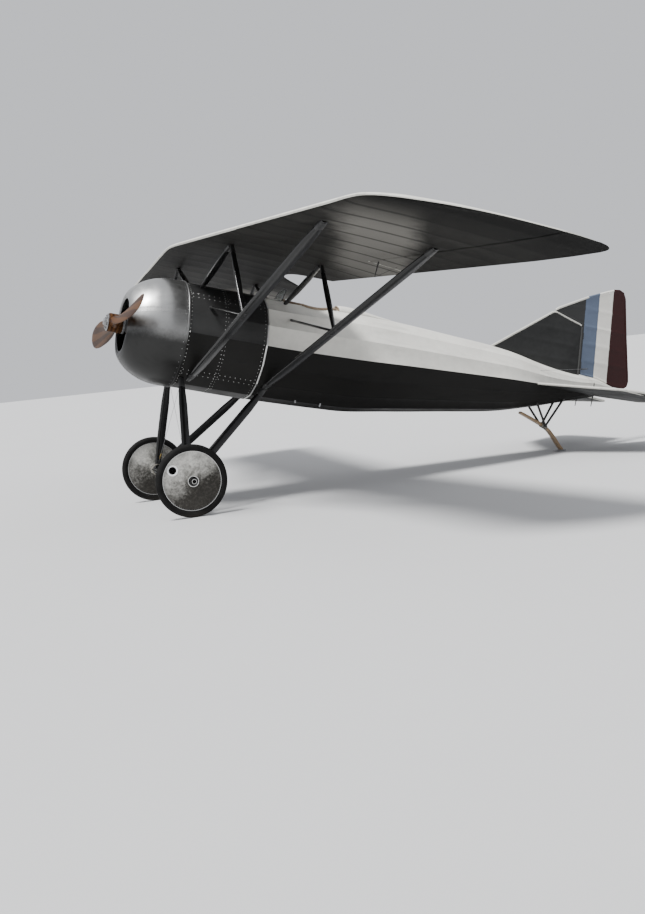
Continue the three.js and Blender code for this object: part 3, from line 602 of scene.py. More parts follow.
def doped_linen(name, tone, tape=0.0, stain=0.35, streak=0.3, shine=0.3):
    """Linen tightened with dope: a fine weave, taped ribs, stains and oil streaks."""
    made = Finish(name, Specular_IOR_Level=shine)
    mask = made.group("mottle", scale=1.7, softness=0.22)
    base = made.mix(mask, shade(tone, 0.62), shade(tone, 1.12, 0.004))
    base = made.mix(stain, tone, base)
    taped = made.group("tapes")
    if tape:
        base = made.mix(made.times(taped, tape), base, shade(tone, 0.78))
    base = made.mix(made.group("streaks", scale=1.6, amount=streak), base, shade(tone, 0.4))
    base = made.mix(made.group("dust", amount=0.22), base, shade(tone, 0.3, 0.2))
    weave = made.group("weave", scale=520)
    height = made.plus(made.times(weave, 0.3), made.times(taped, tape * 2))
    roughness = made.ramp(mask, 0, 1, 0.5, 0.66)
    return made.set(Base_Color=base, Roughness=roughness, Normal=made.bump(height, 0.35, 0.0006))


def underside_linen(name, tone):
    """Dark linen under the wing: its near-black tone, the darker outer wing and the darker rib tapes are
    painted shade; aft of the rear spar a lighter stretch is painted daylight, as if shining through the
    linen.
    """
    made = Finish(name, Specular_IOR_Level=0.08)
    mask = made.group("mottle", scale=1.3, softness=0.25)
    base = made.mix(mask, shade(tone, 0.7), shade(tone, 2.2))
    out = made.math("ABSOLUTE", made.along((0, 1, 0)))
    # Painted shade: darker towards the tip
    base = made.mix(made.ramp(out, 3.2, 4.1), base, shade(tone, 0.2))
    # The lit stretch runs forward towards the tip
    across = made.plus(made.along((1, 0, 0)), made.times(out, 0.4))
    across = made.plus(across, made.times(mask, 0.15))
    daylight = made.times(made.ramp(across, 1.35, 1.65), made.ramp(across, 2.2, 2.0))
    daylight = made.times(daylight, made.ramp(out, 4.0, 3.0))
    daylight = made.times(daylight, made.ramp(out, 0.6, 1.5))
    base = made.mix(daylight, base, shade(tone, 13))
    # Painted shadow of the ribs: the tapes are darker
    taped = made.group("tapes", width=0.022)
    base = made.mix(made.times(taped, 0.6), base, shade(tone, 0.45))
    height = made.plus(made.group("weave", scale=520), taped)
    return made.set(Base_Color=base, Roughness=0.68, Normal=made.bump(height, 0.3, 0.0005))


def rudder_linen():
    """The rudder's three bands, whose edges lean with the hinge line."""
    chosen = settings("rudder")
    made = Finish("rudder linen", Specular_IOR_Level=0.3)
    lean = RUDDER_BANDS["lean"]
    along = made.along((1, 0, lean))
    hinge = HINGE["x"] + lean * HINGE["z"] + 0.003
    bands = (
        (hinge, chosen.front_band),
        (RUDDER_BANDS["middle"], chosen.middle_band),
        (RUDDER_BANDS["rear"], chosen.rear_band),
    )
    edge = 0.0012
    base = tuple(settings("covering").grey)
    for start, tone in bands:
        base = made.mix(made.ramp(along, start - edge, start + edge), base, tuple(tone))
    mask = made.group("mottle", scale=2.2, softness=0.24)
    base = made.mix(made.times(mask, 0.3), base, (0.4, 0.38, 0.34), "MULTIPLY")
    weave = made.group("weave", scale=520)
    return made.set(Base_Color=base, Roughness=0.6, Normal=made.bump(weave, 0.3, 0.0005))


def sheet_metal(name, tone, roughness, metallic=1.0, oil=0.25, painted_shade=0.0):
    """Sheet with fine polishing marks, dull patches and oil; below the thrust line it is darkened as painted
    shade of the unlit lower half.
    """
    made = Finish(name, Metallic=metallic)
    brushing = made.noise(made.stretched(4, 90, 90), 9, 4, 0.7)
    patch = made.group("mottle", scale=2.4, softness=0.2)
    base = made.mix(made.times(patch, 0.45), tone, shade(tone, 0.74))
    base = made.mix(made.group("streaks", scale=2.3, amount=oil), base, shade(tone, 0.3))
    # Painted shade: the sheet is darker below the thrust line, where the lower half lies unlit
    if painted_shade:
        edge = made.plus(made.along((0, 0, 1)), made.times(patch, 0.06))
        shade_below = made.times(made.ramp(edge, THRUST_Z + 0.12, THRUST_Z - 0.09), painted_shade)
        base = made.mix(shade_below, base, shade(tone, 0.04))
    rough = made.plus(made.times(patch, 0.16), roughness - 0.05)
    rough = made.plus(rough, made.times(brushing, 0.1))
    return made.set(Base_Color=base, Roughness=rough, Normal=made.bump(brushing, 0.12, 0.0003))


def enamel(name, tone, roughness=0.3, wear=0.5, shine=0.3, dust=0.12):
    """Dark gloss paint, rubbed through at the edges."""
    made = Finish(name, Specular_IOR_Level=shine)
    mask = made.group("mottle", scale=5, softness=0.25)
    base = made.mix(mask, tone, shade(tone, 1.4))
    base = made.mix(made.group("wear", amount=wear, width=0.09), base, (0.2, 0.18, 0.15))
    base = made.mix(made.group("dust", amount=dust), base, (0.3, 0.28, 0.25))
    rough = made.ramp(mask, 0, 1, roughness, roughness + 0.08)
    ripple = made.noise(made.place(), 14, 2)
    return made.set(Base_Color=base, Roughness=rough, Normal=made.bump(ripple, 0.04, 0.0006))


def iron(name, tone, roughness=0.42, metallic=0.9):
    """Turned or cast metal with oil in its pores."""
    made = Finish(name, Metallic=metallic)
    cast = made.noise(made.place(), 220, 4, 0.6)
    mask = made.group("mottle", scale=9, softness=0.2)
    base = made.mix(mask, shade(tone, 0.5), tone)
    base = made.mix(made.group("wear", amount=0.7, width=0.02), base, shade(tone, 1.7))
    rough = made.ramp(mask, 0, 1, roughness + 0.15, roughness - 0.06)
    return made.set(Base_Color=base, Roughness=rough, Normal=made.bump(cast, 0.18, 0.0006))


def laminated_wood():
    """Propeller of glued layers under varnish; the layers lie across the thrust line."""
    chosen = settings("wood")
    made = Finish("propeller wood", Specular_IOR_Level=0.03)
    layer = made.math("FRACT", made.times(made.along((1, 0, 0)), 1 / 0.036))
    tone = made.group("grain", scale=16)
    base = made.mix(made.ramp(layer, 0.47, 0.53), tuple(chosen.light_layer), tuple(chosen.dark_layer))
    base = made.mix(made.times(tone, 0.5), base, (0.03, 0.012, 0.006))
    base = made.mix(made.group("wear", amount=0.3, width=0.09), base, (0.2, 0.12, 0.06))
    return made.set(Base_Color=base, Roughness=0.36, Normal=made.bump(tone, 0.12, 0.0006))


def plain_wood(name, tone):
    made = Finish(name, Coat_Weight=0.25, Coat_Roughness=0.3)
    grain = made.group("grain", scale=20)
    base = made.mix(grain, tone, shade(tone, 0.45))
    return made.set(Base_Color=base, Roughness=0.5, Normal=made.bump(grain, 0.2, 0.0008))


def rubber():
    """Old smooth tyres, dusty where they touch the ground."""
    made = Finish("tyre rubber", Specular_IOR_Level=0.12)
    tone = tuple(settings("wheel").rubber)
    mask = made.group("mottle", scale=12, softness=0.2)
    base = made.mix(mask, tone, shade(tone, 2.4))
    low = made.ramp(made.dot(made.place(), (0, 0, 1)), 0.06, 0)
    base = made.mix(made.times(low, 0.2), base, (0.1, 0.09, 0.075))
    cracks = made.noise(made.place(), 160, 6, 0.75)
    return made.set(Base_Color=base, Roughness=0.78, Normal=made.bump(cracks, 0.3, 0.0008))


def cover_linen():
    """Disc covers, scuffed, darkened on their lower rear part by mud together with painted shade of the
    cone's downward half.
    """
    made = Finish("wheel cover linen", Specular_IOR_Level=0.1)
    tone = tuple(settings("wheel").cover)
    mask = made.group("mottle", scale=5.5, softness=0.16)
    fleck = made.ramp(made.noise(made.place(), 46, 6, 0.75), 0.42, 0.66)
    base = made.mix(mask, shade(tone, 0.6), shade(tone, 1.3))
    base = made.mix(made.times(fleck, 0.3), base, shade(tone, 0.45))
    # Mud and painted shade: darker towards the lower rear of the cover
    upward = made.plus(made.along((-0.5, 0, 0.86)), made.times(mask, 0.16))
    upward = made.plus(upward, made.times(fleck, 0.07))
    mud_and_shade = made.ramp(upward, 0.36, 0)
    mud_and_shade_tone = made.mix(made.times(fleck, 0.7), (0.022, 0.02, 0.017), (0.075, 0.069, 0.06))
    base = made.mix(made.times(mud_and_shade, 0.96), base, mud_and_shade_tone)
    height = made.plus(made.group("weave", scale=420), made.times(mask, 2))
    return made.set(Base_Color=base, Roughness=0.75, Normal=made.bump(height, 0.35, 0.0009))


def leather():
    """Sun-bleached tan leather with creases."""
    made = Finish("worn leather", Specular_IOR_Level=0.4)
    creases = made.noise(made.place(), 90, 6, 0.7)
    mask = made.group("mottle", scale=14, softness=0.2)
    base = made.mix(mask, (0.16, 0.11, 0.07), (0.36, 0.28, 0.2))
    base = made.mix(made.group("wear", amount=0.6, width=0.02), base, (0.45, 0.36, 0.27))
    return made.set(Base_Color=base, Roughness=0.48, Normal=made.bump(creases, 0.4, 0.0012))


def glass():
    made = Finish("windscreen glass", Transmission_Weight=0.92, IOR=1.48)
    smear = made.noise(made.place(), 24, 5, 0.7)
    return made.set(Base_Color=(0.93, 0.97, 0.96), Roughness=made.ramp(smear, 0.3, 0.8, 0.02, 0.12))


def dial_face():
    made = Finish("dial face", Specular_IOR_Level=0.5, Coat_Weight=0.8, Coat_Roughness=0.05)
    mask = made.group("mottle", scale=40, softness=0.3)
    return made.set(Base_Color=made.mix(mask, (0.015, 0.015, 0.015), (0.03, 0.03, 0.03)), Roughness=0.4)


def shock_cord():
    """Braided cotton over rubber strands."""
    made = Finish("shock cord", Sheen_Weight=0.2, Specular_IOR_Level=0.2)
    braid = made.group("weave", scale=380)
    mask = made.group("mottle", scale=30, softness=0.2)
    base = made.mix(mask, (0.1, 0.095, 0.085), (0.3, 0.28, 0.24))
    return made.set(Base_Color=base, Roughness=0.85, Normal=made.bump(braid, 0.6, 0.0012))


def floor_finish():
    made = Finish("studio floor", Specular_IOR_Level=0.15)
    mask = made.group("mottle", scale=0.4, softness=0.35)
    tone = tuple(settings("stage").floor)
    return made.set(Base_Color=made.mix(mask, shade(tone, 0.97), tone), Roughness=0.9)


def make_materials():
    covering, metal, wood = settings("covering"), settings("metal"), settings("wood")
    pale, dark, grey = tuple(covering.pale), tuple(covering.dark), tuple(covering.grey)
    return {
        "pale linen": doped_linen("pale linen", pale, stain=0.4, streak=0.22),
        "wing linen": doped_linen("wing linen", pale, tape=0.4, streak=0.4),
        # dark linen and dark panel: the lower half is painted near-black, as painted shade
        "dark linen": doped_linen("dark linen", dark, streak=0.5, shine=0.12),
        "underside": underside_linen("underside linen", tuple(covering.underside)),
        "grey linen": doped_linen("grey linen", grey, stain=1, shine=0.15),
        # tail edge: the tail's edge tubes are painted pale as a painted highlight of light catching them; the
        # dial ticks use it as their own pale paint
        "tail edge": doped_linen("tail edge", shade(pale, 0.8), stain=0.3),
        "tail post": doped_linen("tail post", (0.075, 0.075, 0.073), stain=0.6, shine=0.15),
        "rudder linen": rudder_linen(),
        "cowl": sheet_metal("cowl metal", tuple(metal.cowl), metal.roughness, painted_shade=0.95),
        # panel metal: near-black as painted shadow of the wing
        "panel": sheet_metal("panel metal", tuple(metal.panel), 0.4, metallic=0.85, painted_shade=0.75),
        "dark panel": enamel("dark panel", dark, 0.4, wear=0.1, shine=0.15, dust=0.05),
        "white ring": enamel("white ring", (0.85, 0.85, 0.83), 0.4, wear=0, dust=0.05),
        "bright edge": sheet_metal("bright edge", (0.8, 0.8, 0.78), 0.3, oil=0.1),
        "strut": enamel("strut enamel", tuple(wood.strut), 0.16, wear=0.1, shine=0.35, dust=0.01),
        "steel": iron("fitting steel", tuple(metal.steel)),
        "fitting": iron("dark fitting", (0.05, 0.05, 0.05), 0.4, 0.6),
        # Near-black paint inside recesses and bores: painted shade
        "hollow": enamel("painted recess shade", (0.001, 0.001, 0.001), 0.8, wear=0, shine=0.05),
        "iron": iron("cylinder iron", (0.1, 0.1, 0.1), 0.5, 0.75),
        "brass": iron("brass", (0.5, 0.34, 0.12), 0.3),
        "copper": iron("copper", (0.45, 0.2, 0.12), 0.35),
        "propeller": laminated_wood(),
        "ash": plain_wood("ash", (0.36, 0.24, 0.13)),
        "joinery": plain_wood("cockpit joinery", (0.2, 0.11, 0.055)),
        "rubber": rubber(),
        "cover": cover_linen(),
        "leather": leather(),
        "glass": glass(),
        "dial": dial_face(),
        "cord": shock_cord(),
    }


MATERIALS = {}


def material(name):
    if not MATERIALS:
        MATERIALS.update(make_materials())
    return MATERIALS[name]


# Tables, places and directions


def lerp_table(table, key, column=1):
    rows = np.array(table, float)
    return float(np.interp(key, rows[:, 0], rows[:, column]))


def smooth_table(table, key, column=1):
    """A smooth curve through the table's rows, with no overshoot."""
    rows = np.array(table, float)
    x, y = rows[:, 0], rows[:, column]
    slopes = np.diff(y) / np.diff(x)
    tangents = np.empty(len(x))
    tangents[0], tangents[-1] = slopes[0], slopes[-1]
    before, after = slopes[:-1], slopes[1:]
    same = before * after > 0
    safe = np.where(same, before + after, 1)
    tangents[1:-1] = np.where(same, 2 * before * after / safe, 0)
    i = int(np.clip(np.searchsorted(x, key) - 1, 0, len(x) - 2))
    h = x[i + 1] - x[i]
    t = float(np.clip((key - x[i]) / h, 0, 1))
    a, b = (1 + 2 * t) * (1 - t) ** 2, t * (1 - t) ** 2
    c, d = t * t * (3 - 2 * t), t * t * (t - 1)
    return a * y[i] + b * h * tangents[i] + c * y[i + 1] + d * h * tangents[i + 1]


def within(value, low=0, high=1):
    return min(high, max(low, value))


def turns(count):
    """Angles spaced evenly round a circle."""
    return np.arange(count) / count * tau


def unit(vector):
    return np.array(vector, float) / np.linalg.norm(vector)


def mirrored(point, side):
    return np.array((point[0], side * point[1], point[2]), float)


def round_x(x, reach, angle, middle=THRUST_Z):
    """A place round a line that runs aft at the height middle; the angle starts at the top."""
    return (x, reach * sin(angle), middle + reach * cos(angle))


# Mesh making


class Shell:
    """Points and faces of one piece, each face with the number of its material."""

    def __init__(self):
        self.points, self.faces, self.kinds = [], [], []

    def add(self, points, faces, kind=0):
        first = len(self.points)
        self.points.extend(tuple(float(c) for c in p) for p in points)
        self.faces.extend(tuple(first + i for i in face) for face in faces)
        self.kinds.extend(kind if isinstance(kind, list) else [kind] * len(faces))
        return self

    def loft(self, rings, kind=0, caps=True, kind_of_column=None, closed=True, joined=False):
        """Skins rings of equal counts; closed joins a ring's ends, joined the last ring to the first."""
        rings = np.asarray(rings, float)
        count, around = rings.shape[:2]
        faces, kinds = [], []
        for i in range(count if joined else count - 1):
            n = (i + 1) % count
            for j in range(around if closed else around - 1):
                k = (j + 1) % around
                faces.append((i * around + j, i * around + k, n * around + k, n * around + j))
                kinds.append(kind_of_column(j) if kind_of_column else kind)
        if caps:
            faces.append(tuple(range(around)))
            faces.append(tuple((count - 1) * around + j for j in range(around)))
            kinds += [kind, kind]
        return self.add(rings.reshape(-1, 3), faces, kinds)

    def lathe(self, profile, segments=48, kind=0, axis="x", centre=(0, 0, THRUST_Z), closed=False):
        """Turns (along, radius) points about an axis through centre."""
        rings = []
        for turn in turns(segments):
            s, c = sin(turn), cos(turn)
            if axis == "x":
                rings.append([(a, r * s, r * c) for a, r in profile])
            else:
                rings.append([(r * s, a, r * c) for a, r in profile])
        return self.loft(np.array(rings) + np.array(centre), kind, caps=False, closed=closed, joined=True)

    def tube(self, path, radius, sides=8, kind=0, closed=False):
        """A tube along a path; radius may be one value or one for each point."""
        path = np.asarray(path, float)
        radii = np.broadcast_to(np.asarray(radius, float), len(path))
        ahead = np.roll(path, -1, 0) if closed else np.vstack([path[1:], path[-1]])
        behind = np.roll(path, 1, 0) if closed else np.vstack([path[0], path[:-1]])
        tangents = ahead - behind
        tangents /= np.linalg.norm(tangents, axis=1)[:, None]
        up = np.array((0, 0, 1.0)) if abs(tangents[0][2]) < 0.9 else np.array((1.0, 0, 0))
        c, s = np.cos(turns(sides)), np.sin(turns(sides))
        rings = []
        for point, tangent, size in zip(path, tangents, radii):
            side = unit(np.cross(tangent, up))
            up = np.cross(side, tangent)
            rings.append(point + size * (np.outer(c, side) + np.outer(s, up)))
        if closed:
            rings.append(rings[0])
        return self.loft(rings, kind, caps=not closed)

    def open_round(self, centre, radius):
        """Takes out the faces that have a corner near a place."""
        near = {i for i, p in enumerate(self.points) if dist(p, centre) < radius}
        kept = [i for i, face in enumerate(self.faces) if not near.intersection(face)]
        self.faces = [self.faces[i] for i in kept]
        self.kinds = [self.kinds[i] for i in kept]

    def dome(self, centre, normal, radius, height=None, kind=0, sides=8):
        """A rivet or screw head."""
        normal = Vector(normal).normalized()
        side = normal.orthogonal().normalized()
        other = normal.cross(side)
        height = radius * 0.5 if height is None else height
        rings = []
        for share, lift in ((1, -0.2), (1, 0.35), (0.72, 0.85), (0.3, 1)):
            middle = Vector(centre) + normal * (lift * height)
            reach = radius * share
            rings.append([middle + (side * cos(t) + other * sin(t)) * reach for t in turns(sides)])
        return self.loft(rings, kind)

    def head(self, x, reach, angle, radius, kind, middle=THRUST_Z, sides=8):
        """A screw head on a round body."""
        return self.dome(
            round_x(x, reach, angle, middle), (0, sin(angle), cos(angle)), radius, kind=kind, sides=sides
        )

    def plank(self, corner_a, corner_b, kind=0, bevel=0.002):
        """A block between two corners, with its edges taken off."""
        low, high = np.minimum(corner_a, corner_b), np.maximum(corner_a, corner_b)
        work = bmesh.new()
        bmesh.ops.create_cube(work, size=1)
        for vertex in work.verts:
            vertex.co = Vector((low + high) / 2 + np.array(vertex.co) * (high - low))
        bmesh.ops.bevel(work, geom=list(work.edges), offset=bevel, segments=2, affect="EDGES", profile=0.5)
        work.verts.index_update()
        self.add([v.co for v in work.verts], [[v.index for v in f.verts] for f in work.faces], kind)
        work.free()
        return self

    def copy(self, other, place):
        """Adds another shell, moved by a matrix."""
        return self.add([place @ Vector(p) for p in other.points], other.faces, list(other.kinds))


def make_object(name, shell, finishes, place=DATUM, weld=False):
    """Turns a shell into an object in the scene, with its normals facing out."""
    mesh = bpy.data.meshes.new(name)
    mesh.from_pydata(shell.points, [], shell.faces)
    mesh.polygons.foreach_set("material_index", shell.kinds)
    work = bmesh.new()
    work.from_mesh(mesh)
    if weld:
        bmesh.ops.remove_doubles(work, verts=work.verts, dist=1e-6)
    bmesh.ops.delete(work, geom=[v for v in work.verts if not v.link_faces], context="VERTS")
    bmesh.ops.recalc_face_normals(work, faces=work.faces)
    bmesh.ops.transform(work, matrix=place, verts=work.verts)
    work.to_mesh(mesh)
    work.free()
    for finish in finishes:
        mesh.materials.append(material(finish))
    made = bpy.data.objects.new(name, mesh)
    bpy.context.scene.collection.objects.link(made)
    return made


def dress(piece, replaces=(), body="airframe", crease=38):
    """Smooths a piece, hides the CAD nodes it stands for, and lets it ride on its body."""
    piece.data.polygons.foreach_set("use_smooth", [True] * len(piece.data.polygons))
    piece.data.set_sharp_from_angle(angle=radians(crease))
    if replaces:
        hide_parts(*replaces)
    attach(piece, body)
    return piece


def make_piece(name, shell, finishes, replaces=(), body="airframe", crease=38, place=DATUM, weld=False):
    return dress(make_object(name, shell, finishes, place, weld), replaces, body, crease)


# Fuselage


def station(x):
    """Height of the centre and radius of the section at a place."""
    return smooth_table(STATIONS, x), smooth_table(STATIONS, x, 2)


def skin_ring(x, sag, grow=0.0, steps=SIDE_STEPS):
    """One ring of the sixteen-sided skin; cloth sinks by sag between stringers."""
    z, r = station(x)
    r += grow
    ring = []
    for k in range(FUSELAGE_SIDES):
        a, b = (k / FUSELAGE_SIDES * tau, (k + 1) / FUSELAGE_SIDES * tau)
        start, end = np.array((sin(a), cos(a))), np.array((sin(b), cos(b)))
        inward = -(start + end) / np.linalg.norm(start + end)
        for step in range(steps):
            t = step / steps
            flat = (start + (end - start) * t) * r + inward * sag * 4 * t * (1 - t)
            ring.append((x, flat[0], z + flat[1]))
    return ring


def skin_rings(start, end, sag, spacing=0.06, grow=0.0, steps=SIDE_STEPS):
    count = max(2, round((end - start) / spacing) + 1)
    return [skin_ring(x, sag * station(x)[1] / 0.5, grow, steps) for x in np.linspace(start, end, count)]


def upper_or_lower(column):
    """Material by side of the section: the eight sides over the middle stringers are the upper ones."""
    quarter = FUSELAGE_SIDES // 4
    return 0 if column // SIDE_STEPS < quarter or column // SIDE_STEPS >= 3 * quarter else 1


def deck_z(x, y=0.0):
    """Height of the sixteen-sided skin at a place on the deck."""
    z, r = station(x)
    angle = atan2(abs(y), r)
    half = pi / FUSELAGE_SIDES
    for _ in range(4):
        local = angle % (2 * half) - half
        reach = r * cos(half) / cos(local)
        angle = asin(min(0.99, abs(y) / reach))
    return z + sqrt(max(0, reach * reach - y * y))


def build_forward_panels():
    shell = Shell()
    for i, (start, end) in enumerate(zip(PANEL_ENDS, PANEL_ENDS[1:])):
        rings = skin_rings(start, end, -0.002, 0.05, 0.0015 * (i + 1))
        shell.loft(rings, kind_of_column=upper_or_lower)
    for x in (-0.135, 0.188, 0.212, 0.572):
        for point in skin_ring(x, 0, 0.003, 5):
            shell.dome(point, (0, point[1], point[2] - station(x)[0]), SCREW, kind=2, sides=6)
    for stringer in (2, 6, 10, 14):
        for x in np.arange(-0.12, 0.58, 0.05):
            z, r = station(x)
            for off in (-0.05, 0.05):
                angle = stringer / FUSELAGE_SIDES * tau + off
                shell.head(x, r + 0.0025, angle, SCREW, 2, middle=z, sides=6)
    # Bright rolled strip over the joint between sheet and linen
    strip = ((-0.008, 0.002), (-0.006, 0.0045), (0, 0.0058), (0.006, 0.0045), (0.008, 0.002))
    shell.loft([skin_ring(PANEL_JOINT + off, -0.001, grow) for off, grow in strip], kind=2, caps=False)
    # Shaft and bulkhead behind the engine
    shaft = ((-0.325, 0), (-0.325, 0.038), (-0.322, 0.042), (-0.15, 0.042), (-0.15, 0.2), (-0.148, 0.49))
    shell.lathe(shaft, 40, 3)
    finishes = ("panel", "dark panel", "bright edge", "steel")
    make_piece("forward_panels", shell, finishes, ("fuselage_forward",), crease=14)


def build_rear_covering():
    sag = settings("covering").sag
    shell = Shell().loft(skin_rings(DECK_JOINT, TAIL_END, sag), kind_of_column=upper_or_lower)
    # Stitched lacing of the linen along the keel
    for x in np.arange(1.7, 4.2, 0.03):
        z, r = station(x)
        shell.dome((x, 0, z - r - 0.0005), (0, 0, -1), 0.003, 0.003, 2, 6)
    finishes = ("pale linen", "dark linen", "cord")
    make_piece("rear_covering", shell, finishes, ("fuselage_rear",), crease=10, weld=True)


def build_headrest():
    """Fairing on the deck behind the pilot's head, padded at its front."""
    around, sunk = 25, 0.004
    rings = []
    for x in np.linspace(HEADREST[0][0], HEADREST[-1][0], 40):
        half, height = smooth_table(HEADREST, x), smooth_table(HEADREST, x, 2)
        top = deck_z(x)
        ring = []
        for turn in np.linspace(0, pi, around):
            y = -half * cos(turn)
            ring.append((x, y, min(top, deck_z(x, y)) - sunk + (height + sunk) * sin(turn) ** 0.8))
        rings.append(ring)
    shell = Shell().loft(rings, 0, caps=False, closed=False)
    shell.add(rings[0], [tuple(range(around))], 1)
    shell.tube([(x - 0.002, y, z + 0.002) for x, y, z in rings[0]], 0.006, 8, 1)
    make_piece("headrest_fairing", shell, ("pale linen", "leather"), ("headrest",))


def boolean_cut(target, cutters):
    for cutter in cutters:
        modifier = target.modifiers.new("cut", "BOOLEAN")
        modifier.operation = "DIFFERENCE"
        modifier.solver = "EXACT"
        modifier.object = cutter
    graph = bpy.context.evaluated_depsgraph_get()
    mesh = bpy.data.meshes.new_from_object(target.evaluated_get(graph))
    target.modifiers.clear()
    target.data = mesh
    for cutter in cutters:
        bpy.data.objects.remove(cutter)


def mouth_outline(count):
    """Plan of the cockpit's opening."""
    middle = (COCKPIT["front"] + COCKPIT["rear"]) / 2
    reach = (COCKPIT["rear"] - COCKPIT["front"]) / 2
    return [(middle + reach * cos(t), COCKPIT["half_width"] * sin(t)) for t in turns(count)]


def build_cockpit_section():
    finishes = ("pale linen", "dark linen", "joinery")
    rings = skin_rings(PANEL_JOINT + 0.001, DECK_JOINT, settings("covering").sag, 0.04)
    section = make_object("cockpit_section", Shell().loft(rings, kind_of_column=upper_or_lower), finishes)
    inner = Shell().loft(skin_rings(0.64, 1.58, 0, 0.1, -0.014, 2), kind=2)
    hole = Shell().loft([[(x, y, z) for x, y in mouth_outline(64)] for z in (1.55, 2.1)], kind=2)
    boolean_cut(section, [make_object("inner", inner, finishes), make_object("hole", hole, finishes)])
    dress(section, ("fuselage_cockpit",), crease=10)


def build_cockpit_frames():
    shell = Shell()
    half = 0.009
    for x in COCKPIT_HOOPS:
        z, r = station(x)
        outer, inner = r - 0.018, r - 0.05
        profile = ((x - half, inner), (x - half, outer), (x + half, outer), (x + half, inner))
        shell.lathe(profile, 32, centre=(0, 0, z), closed=True)
    for side in SIDES.values():
        for angle in np.radians((45, 90, 135)):
            path = []
            for x in np.linspace(0.65, 1.57, 8):
                z, r = station(x)
                path.append(round_x(x, r - 0.03, side * angle, z))
            shell.tube(path, 0.012, 6)
    make_piece("cockpit_frames", shell, ("ash",), weld=True)


def build_coaming():
    """Padded roll round the cockpit's mouth, with its stitches."""
    count, ripples = 120, 40
    path = [(x, y, deck_z(x, y) + 0.006) for x, y in mouth_outline(count)]
    radii = [0.0125 + 0.0007 * cos(turn * ripples) for turn in turns(count)]
    shell = Shell().tube(path, radii, 14, 0, closed=True)
    for x, y, z in path[::3]:
        out = Vector((x - 1.15, y, 0)).normalized()
        top = Vector((x, y, z)) + out * 0.0045 + Vector((0, 0, 0.0118))
        low = Vector((x, y, z)) + out * 0.0125 + Vector((0, 0, 0.001))
        shell.tube([top, (top + low) / 2 + (out + Vector((0, 0, 1))) * 0.0026, low], 0.0009, 5, 1)
    finishes = ("leather", "cord")
    roll = make_piece("cockpit_roll", shell, finishes, ("cockpit_coaming",), crease=60, weld=True)


def build_seat():
    shell = Shell().plank((0.99, -0.2, 1.11), (1.37, 0.2, 1.13), 0, 0.003)
    for side in SIDES.values():
        shell.plank((0.99, side * 0.192, 1.128), (1.37, side * 0.21, 1.2), 0, 0.004)
        for top, bend, foot in ((1.0, 1.05, 1.06), (1.35, 1.32, 1.31)):
            leg = [(top, side * 0.19, 1.115), (bend, side * 0.2, 0.9), (foot, side * 0.2, 0.85)]
            shell.tube(leg, 0.009, 8, 1)
    half = ((0.2, 1.13), (0.2, 1.34), (0.17, 1.41), (0.1, 1.437))
    outline = [*[(-y, z) for y, z in half], *reversed(half)]
    shell.loft([[(x, y, z) for y, z in outline] for x in (1.362, 1.382)])
    make_piece("bucket_seat", shell, ("joinery", "steel"), ("pilot_seat",), weld=True)


def add_dial(shell, y, z, radius):
    """A rimmed dial with plain ticks and a needle."""
    rim = ((0.831, radius * 1.1), (0.842, radius * 1.1), (0.845, radius), (0.838, radius * 0.96))
    shell.lathe(rim, 32, 1, centre=(0, y, z))
    shell.lathe(((0.837, 0), (0.837, radius * 0.97)), 32, 2, centre=(0, y, z))

    def at(x, share, angle):
        return (x, y + radius * share * sin(angle), z + radius * share * cos(angle))

    for tick in np.radians(np.arange(-130, 131, 26)):
        shell.tube([at(0.838, 0.78, tick), at(0.838, 0.9, tick)], 0.0011, 4, 3)
    needle = radians(-60 + 400 * y)
    shell.tube([at(0.8385, 0, needle), at(0.8385, 0.7, needle)], (0.0018, 0.0006), 4, 3)


def build_instrument_panel():
    half, foot = 0.4, 1.532
    z, r = station(0.825)
    arch = [(y, z + sqrt((r * 0.94) ** 2 - y * y)) for y in half * np.linspace(1, -1, 25)]
    outline = [(half, foot), *arch, (-half, foot)]
    shell = Shell().loft([[(x, y, z) for y, z in outline] for x in (0.819, 0.831)])
    for dial in DIALS:
        add_dial(shell, *dial)
    finishes = ("joinery", "brass", "dial", "tail edge")
    make_piece("instrument_panel", shell, finishes, ("instrument_board",), weld=True)


def build_control_stick():
    shell = Shell().tube([(0.935, 0, 0.86), (0.945, 0, 1.1), (0.96, 0, 1.37)], 0.013, 12)
    shell.tube([(0.9585, 0, 1.33), (0.963, 0, 1.4), (0.966, 0, 1.43)], (0.017, 0.02, 0.015), 14, 1)
    make_piece("control_stick", shell, ("steel", "leather"), ("control_column",), weld=True)


def build_windscreen():
    tilt = radians(20)
    base_x, base_z = COCKPIT["front"] - 0.06, deck_z(COCKPIT["front"]) - 0.026
    top = [(-0.12 + 0.24 * t, 0.12 + 2 * t * (1 - t) * 0.055) for t in np.linspace(0.1, 0.9, 9)]
    outline = [(-0.15, 0.0), (-0.12, 0.12), *top, (0.12, 0.12), (0.15, 0.0)]

    def at(y, up, depth):
        return (base_x + up * sin(tilt) + depth, y, base_z + up * cos(tilt))

    pane = Shell().loft([[at(y, up, d) for y, up in outline] for d in (0.0, 0.004)])
    make_piece("windscreen_pane", pane, ("glass",), ("windscreen",), weld=True)
    rim = Shell().tube([at(y, up, 0.002) for y, up in outline], 0.0045, 8)
    make_piece("windscreen_frame", rim, ("fitting",), weld=True)


# Nose


def cowl_outline(count=40):
    """Places along the cowl's profile, evenly spaced by length."""
    steps = [dist(a, b) for a, b in zip(COWL_PROFILE, COWL_PROFILE[1:])]
    lengths = np.concatenate([[0], np.cumsum(steps)])
    along = [(s, x, r) for s, (x, r) in zip(lengths, COWL_PROFILE)]
    places = np.linspace(0, 1, count) * lengths[-1]
    return [(smooth_table(along, s), smooth_table(along, s, 2)) for s in places]


